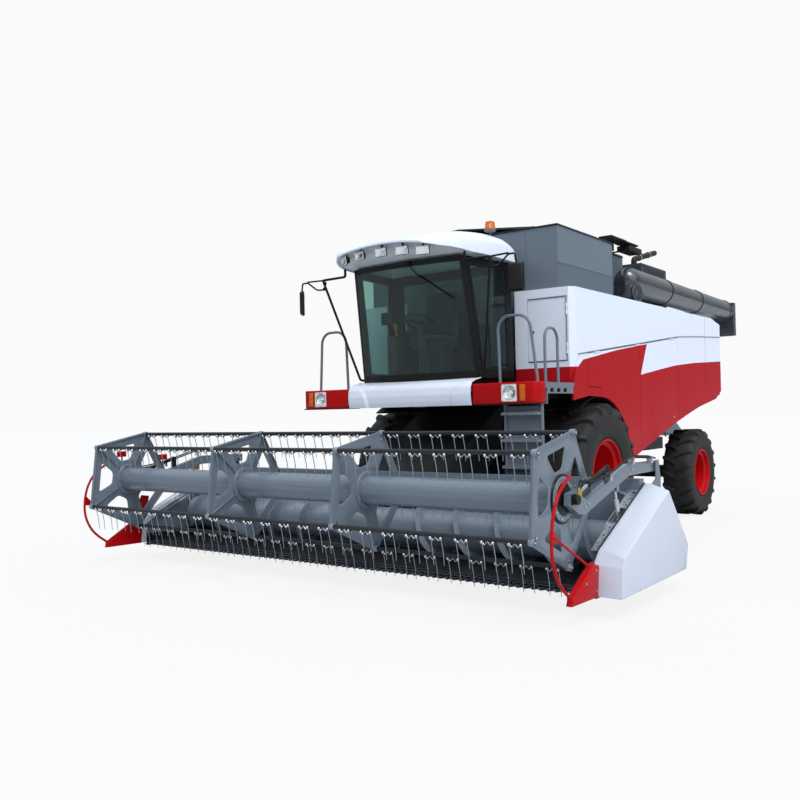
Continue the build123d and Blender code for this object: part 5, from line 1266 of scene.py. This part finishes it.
def build_mirrors():
    """Mirror arms of black tube with clamps, and tall moulded mirror heads."""
    # main tube, branch and upper tube: corners, radius, bend
    lines = (
        (((0.8646, -1.69, 2.20), (0.94, -1.69, 2.21), (1.255, -2.03, 3.51), (0.90, -2.00, 3.52),
          (0.90, -2.00, 3.614)), 0.016, 0.05),
        (((1.225, -2.00, 3.39), (1.36, -2.03, 3.395), (1.50, -2.05, 3.50), (1.585, -2.06, 3.50),
          (1.60, -2.06, 3.40)), 0.011, 0.04),
        (((1.252, -2.03, 3.508), (1.50, -2.052, 3.512)), 0.011, 0.0),
    )
    for hand, side in BOTH:
        pieces = [tube(sided(side, line), radius, bend) for line, radius, bend in lines]
        for z in (3.40, 3.47):
            start, end = (side * 1.236, -2.01, z - 0.02), (side * 1.242, -2.017, z + 0.02)
            pieces.append(bar(start, end, 0.024, sides=14, edge=0.003))
        stands_for = ["mirrors"] if side > 0 else ()
        finish(f"mirror_arm_{hand}", pieces, cab_black, "chassis", stands_for)
        head = side_block(side, (1.50, -2.095, 3.08), (1.69, -2.035, 3.40), 0.022, 3)
        head_x, head_z = side * 1.595, 3.24
        for vertex in head.data.vertices:
            if vertex.co.y < -2.07:
                vertex.co.x = head_x + (vertex.co.x - head_x) * 0.86
                vertex.co.z = head_z + (vertex.co.z - head_z) * 0.93
        glass = block((head_x - 0.080, -2.036, 3.10), (head_x + 0.080, -2.031, 3.38), 0.002)
        # heads turned towards the driver's eyes
        turned = turned_about((head_x, -2.06, 0), radians(12 if side > 0 else -48), "Z")
        for piece in (head, glass):
            piece.data.transform(turned)
        finish(f"mirror_head_{hand}", head, black_plastic, "chassis")
        finish(f"mirror_glass_{hand}", glass, mirror_glass, "chassis")


def build_cab_trim():
    """Cab trim: the windshield's rubbers, its wiper and the door's handle."""
    low = [(-0.835, -1.712, 2.245), (-0.42, -1.768, 2.243), (0.0, -1.788, 2.243), (0.42, -1.768, 2.243),
           (0.835, -1.712, 2.245)]
    high = [(0.785, -1.922, 3.540), (0.40, -1.975, 3.545), (0.0, -1.993, 3.545), (-0.40, -1.975, 3.545),
            (-0.785, -1.922, 3.540)]
    rubbers = [tube(low, 0.011, flowing=True), tube(high, 0.013, flowing=True)]
    rubbers += [tube(ends, 0.012) for ends in ((low[0], high[-1]), (low[-1], high[0]))]
    finish("windshield_rubber", rubbers, black_plastic, "chassis")
    arm = [tube([(0.10, -2.020, 3.60), (0.10, -2.015, 3.55), (0.24, -1.985, 3.40), (0.46, -1.945, 3.26)],
                0.007, 0.03)]
    arm.append(block((0.065, -2.03, 3.55), (0.135, -1.985, 3.60), 0.006))
    blade = bar((0.22, -1.985, 3.42), (0.68, -1.905, 3.10), 0.009, sides=8)
    finish("wiper", arm + [blade], cab_black, "chassis")
    handle = tube([(0.955, -1.16, 2.74), (0.990, -1.16, 2.74), (0.990, -1.16, 2.90), (0.955, -1.16, 2.90)],
                  0.009, 0.02)
    finish("door_handle", handle, black_plastic, "cab_door")


def build_driver_place():
    """Driver's place: sprung seat in woven cloth, column and wheel, console with its grip, screen."""
    half_width, middle_y, half_depth = 0.25, -1.34, 0.19
    cushion = block((-half_width, -1.53, 2.615), (half_width, -1.15, 2.725), 0.03, 3)
    apply_modifier(cushion, "SUBSURF", levels=2, render_levels=2)
    for vertex in cushion.data.vertices:
        x, y = vertex.co.x / half_width, (vertex.co.y - middle_y) / half_depth
        if vertex.co.z > 2.68:
            vertex.co.z += 0.022 * (1 - x * x) * (1 - y * y) - 0.008 * (abs(abs(x) - 0.62) < 0.10)
    finish("seat_cushion", cushion, seat_cloth, "chassis", angle=60)
    half_width, middle_z, half_height = 0.24, 3.02, 0.30
    back = block((-half_width, -1.25, 2.72), (half_width, -1.13, 3.32), 0.035, 3)
    apply_modifier(back, "SUBSURF", levels=2, render_levels=2)
    for vertex in back.data.vertices:
        x, z = vertex.co.x / half_width, (vertex.co.z - middle_z) / half_height
        vertex.co.y += 0.06 * (z + 1) / 2
        if vertex.co.y < -1.19:
            vertex.co.y -= 0.020 * (1 - x * x) * (1 - z * z)
        vertex.co.x *= 1 - 0.10 * max(0.0, z)
    finish("seat_back", back, seat_cloth, "chassis", ["driver_place"], angle=60)
    base = [block((-0.18, -1.40, 2.2405), (0.18, -1.16, 2.60), 0.02),
            block((-0.24, -1.50, 2.585), (0.24, -1.15, 2.625), 0.01),
            block((-0.56, -1.60, 2.2405), (-0.40, -1.15, 2.76), 0.03, 3),
            block((-0.06, -1.61, 2.2405), (0.06, -1.51, 2.30), 0.01)]
    boot = spun([(-0.60, 0.0), (-0.60, 0.075), (-0.50, 0.060), (-0.06, 0.042), (0.0, 0.040), (0.0, 0.0)],
                (0, -1.65, 2.87), (0, -0.146, 0.989), 24)
    finish("console_and_column", base + [boot], console_shaded_grey, "chassis")
    way = Vector((0, 0.5, 0.866))
    deselect()
    bpy.ops.mesh.primitive_torus_add(major_radius=0.192, minor_radius=0.014, major_segments=40,
                                     minor_segments=10, location=(0, -1.635, 2.892),
                                     rotation=way.to_track_quat("Z", "Y").to_euler())
    hoop = settle(bpy.context.object)
    hub, middle = Vector((0, -1.64, 2.872)), Vector((0, -1.636, 2.89))
    spokes = [hoop, bar(hub, hub + way * 0.03, 0.048, 0.040, sides=20, edge=0.004)]
    for turn in (0, 120, 240):
        tip = Vector((cos(radians(turn + 90)), 0, 0)) + Vector((0, 0.866, -0.5)) * sin(radians(turn + 90))
        spokes.append(bar(middle, middle + tip * 0.19, 0.011, sides=8))
    finish("steering_wheel", spokes, black_plastic, "chassis")
    grip = spun([(0.0, 0.0), (0.0, 0.020), (0.05, 0.014), (0.09, 0.026), (0.15, 0.030), (0.17, 0.018),
                 (0.175, 0.0)], (-0.47, -1.50, 2.76), (0, -0.25, 0.97), 20)
    finish("drive_grip", grip, orange_paint, "chassis")
    screen = [block((-0.60, -1.66, 2.90), (-0.42, -1.63, 3.06), 0.008),
              tube([(-0.50, -1.58, 2.74), (-0.50, -1.64, 2.86), (-0.51, -1.645, 2.93)], 0.010, 0.02)]
    finish("yield_screen", screen, black_plastic, "chassis")


# Body

def build_side_trim():
    """Side panel trim: the grey seam moulding, panel joints and side lamps."""
    for hand, side in BOTH:
        x = side * 1.6515
        # the moulding lies over the joint between the panels and the doors
        line = ((-0.66, 2.444), (-0.38, 2.477), (2.94, 2.857), (3.85, 2.912), (5.12, 2.972))
        moulding = tube([(x, y, z) for y, z in line], 0.007, 0.25)
        finish(f"seam_moulding_{hand}", moulding, grey_plastic, "chassis")
        # narrow joints between the pressed sheets
        gaps = side_block(side, (1.6495, 4.30, 2.00), (1.6512, 4.305, 3.26))
        finish(f"panel_joint_{hand}", gaps, cab_black, "chassis")
        gap = side_block(side, (1.6495, 1.351, 1.19), (1.6512, 1.355, 2.55))
        finish(f"door_joint_{hand}", gap, cab_black, f"side_door_{hand}")
        lamp = side_block(side, (1.650, 2.62, 1.60), (1.662, 2.70, 1.63), 0.004)
        finish(f"side_lamp_{hand}", lamp, lens_amber, f"side_door_{hand}")


def build_service_door_trim():
    """Front store door: rubber along its upper, outer and lower edges, and a turn latch."""
    edge = tube([(1.040, -0.7725, 3.150), (1.560, -0.7725, 3.150), (1.560, -0.7725, 2.372),
                 (1.040, -0.7725, 2.372)], 0.006)
    finish("store_door_rubber", edge, grey_plastic, "service_door")
    latch = [spun([(0.0, 0.022), (-0.008, 0.022), (-0.010, 0.018), (-0.010, 0.0)], (1.10, -0.770, 2.74),
                  (0, 1, 0), 20)]
    finish("store_door_latch", latch, black_plastic, "service_door")


def build_tank_trim():
    """Grain tank trim: the top rim's seal, rain flaps, folds of the walls and the ribs of the lids."""
    out, front, rear, rim_z = 1.452, -0.742, 2.10, 4.052
    runs = (((-out, front), (out, front)), ((out, front), (out, 0.950)), ((-out, front), (-out, rear)),
            ((1.132, 0.955), (1.132, rear)))
    edges = [tube([(x, y, rim_z) for x, y in run], 0.012) for run in runs]
    finish("tank_rim_seal", edges, black_plastic, "chassis")
    # flat rain flaps over the step in the tank's rear left corner, on two brackets
    flaps = [block((1.25, 0.96, 4.155), (1.445, 1.50, 4.180), 0.004, 1),
             block((1.25, 1.52, 4.150), (1.445, 1.95, 4.172), 0.004, 1),
             block((1.25, 1.60, 4.052), (1.445, 2.08, 4.130), 0.008)]
    flaps += [block((1.25, y, 4.04), (1.28, y + 0.03, 4.157), 0.002, 1) for y in (1.0, 1.40)]
    flaps += [block((1.135, 1.66, 4.058), (1.26, 1.70, 4.075), 0.002, 1),
              block((1.135, 1.00, 4.058), (1.26, 1.03, 4.075), 0.002, 1)]
    finish("tank_flaps", flaps, chassis_black, "chassis")
    folds = [block((x - 0.006, -0.7455, 3.28), (x + 0.006, -0.739, 4.04), 0.002, 1)
             for x in (-0.95, 0.30, 1.02)]
    crease = block((1.4495, -0.735, 3.586), (1.4545, 0.945, 3.598), 0.002, 1)
    finish("tank_folds", folds + [crease], tank_grey, "chassis")
    for hand, side, edge_x in (("left", 1, 1.126), ("right", -1, 1.446)):
        ribs = []
        for y in (-0.35, 0.25, 0.85, 1.45):
            ribs.append(bar((side * (edge_x - 0.03), y, 4.082), (side * 0.04, y, 4.196), 0.008, sides=8))
        finish(f"lid_ribs_{hand}", ribs, tank_grey, f"tank_cover_{hand}")


def build_unloader_trim():
    """Unloading tube: the bolts of its two joints, and the elbow's round inspection cap."""
    elbow, end = Vector((1.42, 1.56, 3.60)), Vector((1.50, 5.90, 3.50))
    run = end - elbow
    way = run.normalized()
    out = way.orthogonal().normalized()
    heads = []
    for share in (0.30, 0.62):
        for k in range(12):
            spoke = Matrix.Rotation(2 * pi * k / 12, 3, way) @ out
            heads.append(bolt(elbow + run * share + spoke * 0.204 + way * 0.018, way, 0.010, 0.010))
    finish("tube_joint_bolts", heads, bright_steel, "unloader", angle=20)
    facing = Vector((1, -0.25, 0))
    profile = [(0.0, 0.0), (0.0, 0.118), (0.012, 0.120), (0.018, 0.112), (0.018, 0.0)]
    cap = spun(profile, (elbow.x + 0.165, 1.47, 3.41), facing, 32)
    cap_bolts = []
    for k in range(6):
        spoke = Matrix.Rotation(2 * pi * k / 6, 3, facing.normalized()) @ Vector((0, 0, 0.096))
        cap_bolts.append(bolt(Vector((elbow.x + 0.182, 1.466, 3.41)) + spoke, facing, 0.009))
    finish("elbow_cap", [cap] + cap_bolts, unloader_grey, "unloader", angle=30)


def build_deck_trim():
    """Engine deck: the strips below and above the louvres, and the clamps of the exhaust."""
    rim = []
    for side in (-1, 1):
        for z in (3.76, 3.995):
            rim.append(side_block(side, (1.200, 2.70, z), (1.207, 3.75, z + 0.025), 0.003))
    finish("louvre_frame", rim, tube_grey, "chassis")
    clamps = []
    for y, z in ((2.95, 4.166), (3.35, 4.262)):
        clamps.append(spun(both_ends([(0.014, 0.046), (0.014, 0.052)]), (1.06, y, z), (0, 0.972, 0.235), 24))
    finish("exhaust_clamps", clamps, bright_steel, "chassis")


def build_ladder_trim():
    """Teeth along the front of the ladder's five treads."""
    teeth = []
    lowest, rise = 0.55, 0.3
    for i in range(5):
        z = lowest + rise * i
        tooth = block((1.300, -1.895, z), (1.312, -1.785, z + 0.010))
        row_of(tooth, 14, 0.030, 0, 0)
        teeth.append(tooth)
    finish("ladder_teeth", teeth, rail_grey, "ladder")


def build_rear_trim():
    """Rear and turn lamps on the hood's corners."""
    for hand, side in BOTH:
        case = side_block(side, (1.28, 5.225, 2.30), (1.56, 5.262, 2.42), 0.008)
        finish(f"rear_lamp_case_{hand}", case, black_plastic, "chassis")
        lens = side_block(side, (1.29, 5.260, 2.31), (1.46, 5.270, 2.41), 0.004)
        finish(f"rear_lamp_{hand}", lens, lens_red, "chassis")
        turn = side_block(side, (1.47, 5.260, 2.31), (1.55, 5.270, 2.41), 0.004)
        finish(f"rear_turn_lamp_{hand}", turn, lens_amber, "chassis")


def paint_nodes():
    """Finish of each CAD piece that shows as it is."""
    finishes = {
        "auger_foot": tube_grey, "cab_door_frame": cab_black, "cab_door_glass": cab_tint,
        "cab_frame": cab_black, "cab_glass": cab_tint,
        "chassis_frame": chassis_black, "engine_block": chassis_black, "engine_deck": white,
        "engine_hood": tube_grey, "exhaust": heat_steel,
        "feeder_house": feeder_paint_and_shade, "front_axle": chassis_black, "grain_tank": tank_grey,
        "handrails": rail_grey, "header_frame": trough_slate,
        "knuckle_left": chassis_black, "knuckle_right": chassis_black, "ladder": rail_grey,
        "lift_barrels": chassis_black, "lift_rams": rod_chrome,
        "platform": rail_grey, "rear_axle": chassis_black, "rear_hood": panel, "reel_arms": slate,
        "reel_barrels": bright_steel,
        "reel_rams": rod_chrome, "service_door": white, "side_door_left": panel, "side_door_right": panel,
        "side_shell_left": panel,
        "side_shell_right": panel, "straw_chopper": tank_grey, "tank_cover_left": tube_grey,
        "tank_cover_right": tube_grey,
        "threshing_body": chassis_black, "unloading_auger": unloader_grey,
    }
    for name, material in finishes.items():
        paint_node(name, material)


place_camera()
light_the_scene()
paint_nodes()
build_wheels()
build_reel()
build_reel_bars()
build_auger()
build_cutter_bar()
build_header_trim()
build_dividers()
build_shrouds()
build_arm_fittings()
build_far_arm_guards()
build_roof()
build_work_lamps()
build_beacon()
build_fascia()
build_mirrors()
build_cab_trim()
build_driver_place()
build_side_trim()
build_service_door_trim()
build_tank_trim()
build_unloader_trim()
build_deck_trim()
build_ladder_trim()
build_rear_trim()
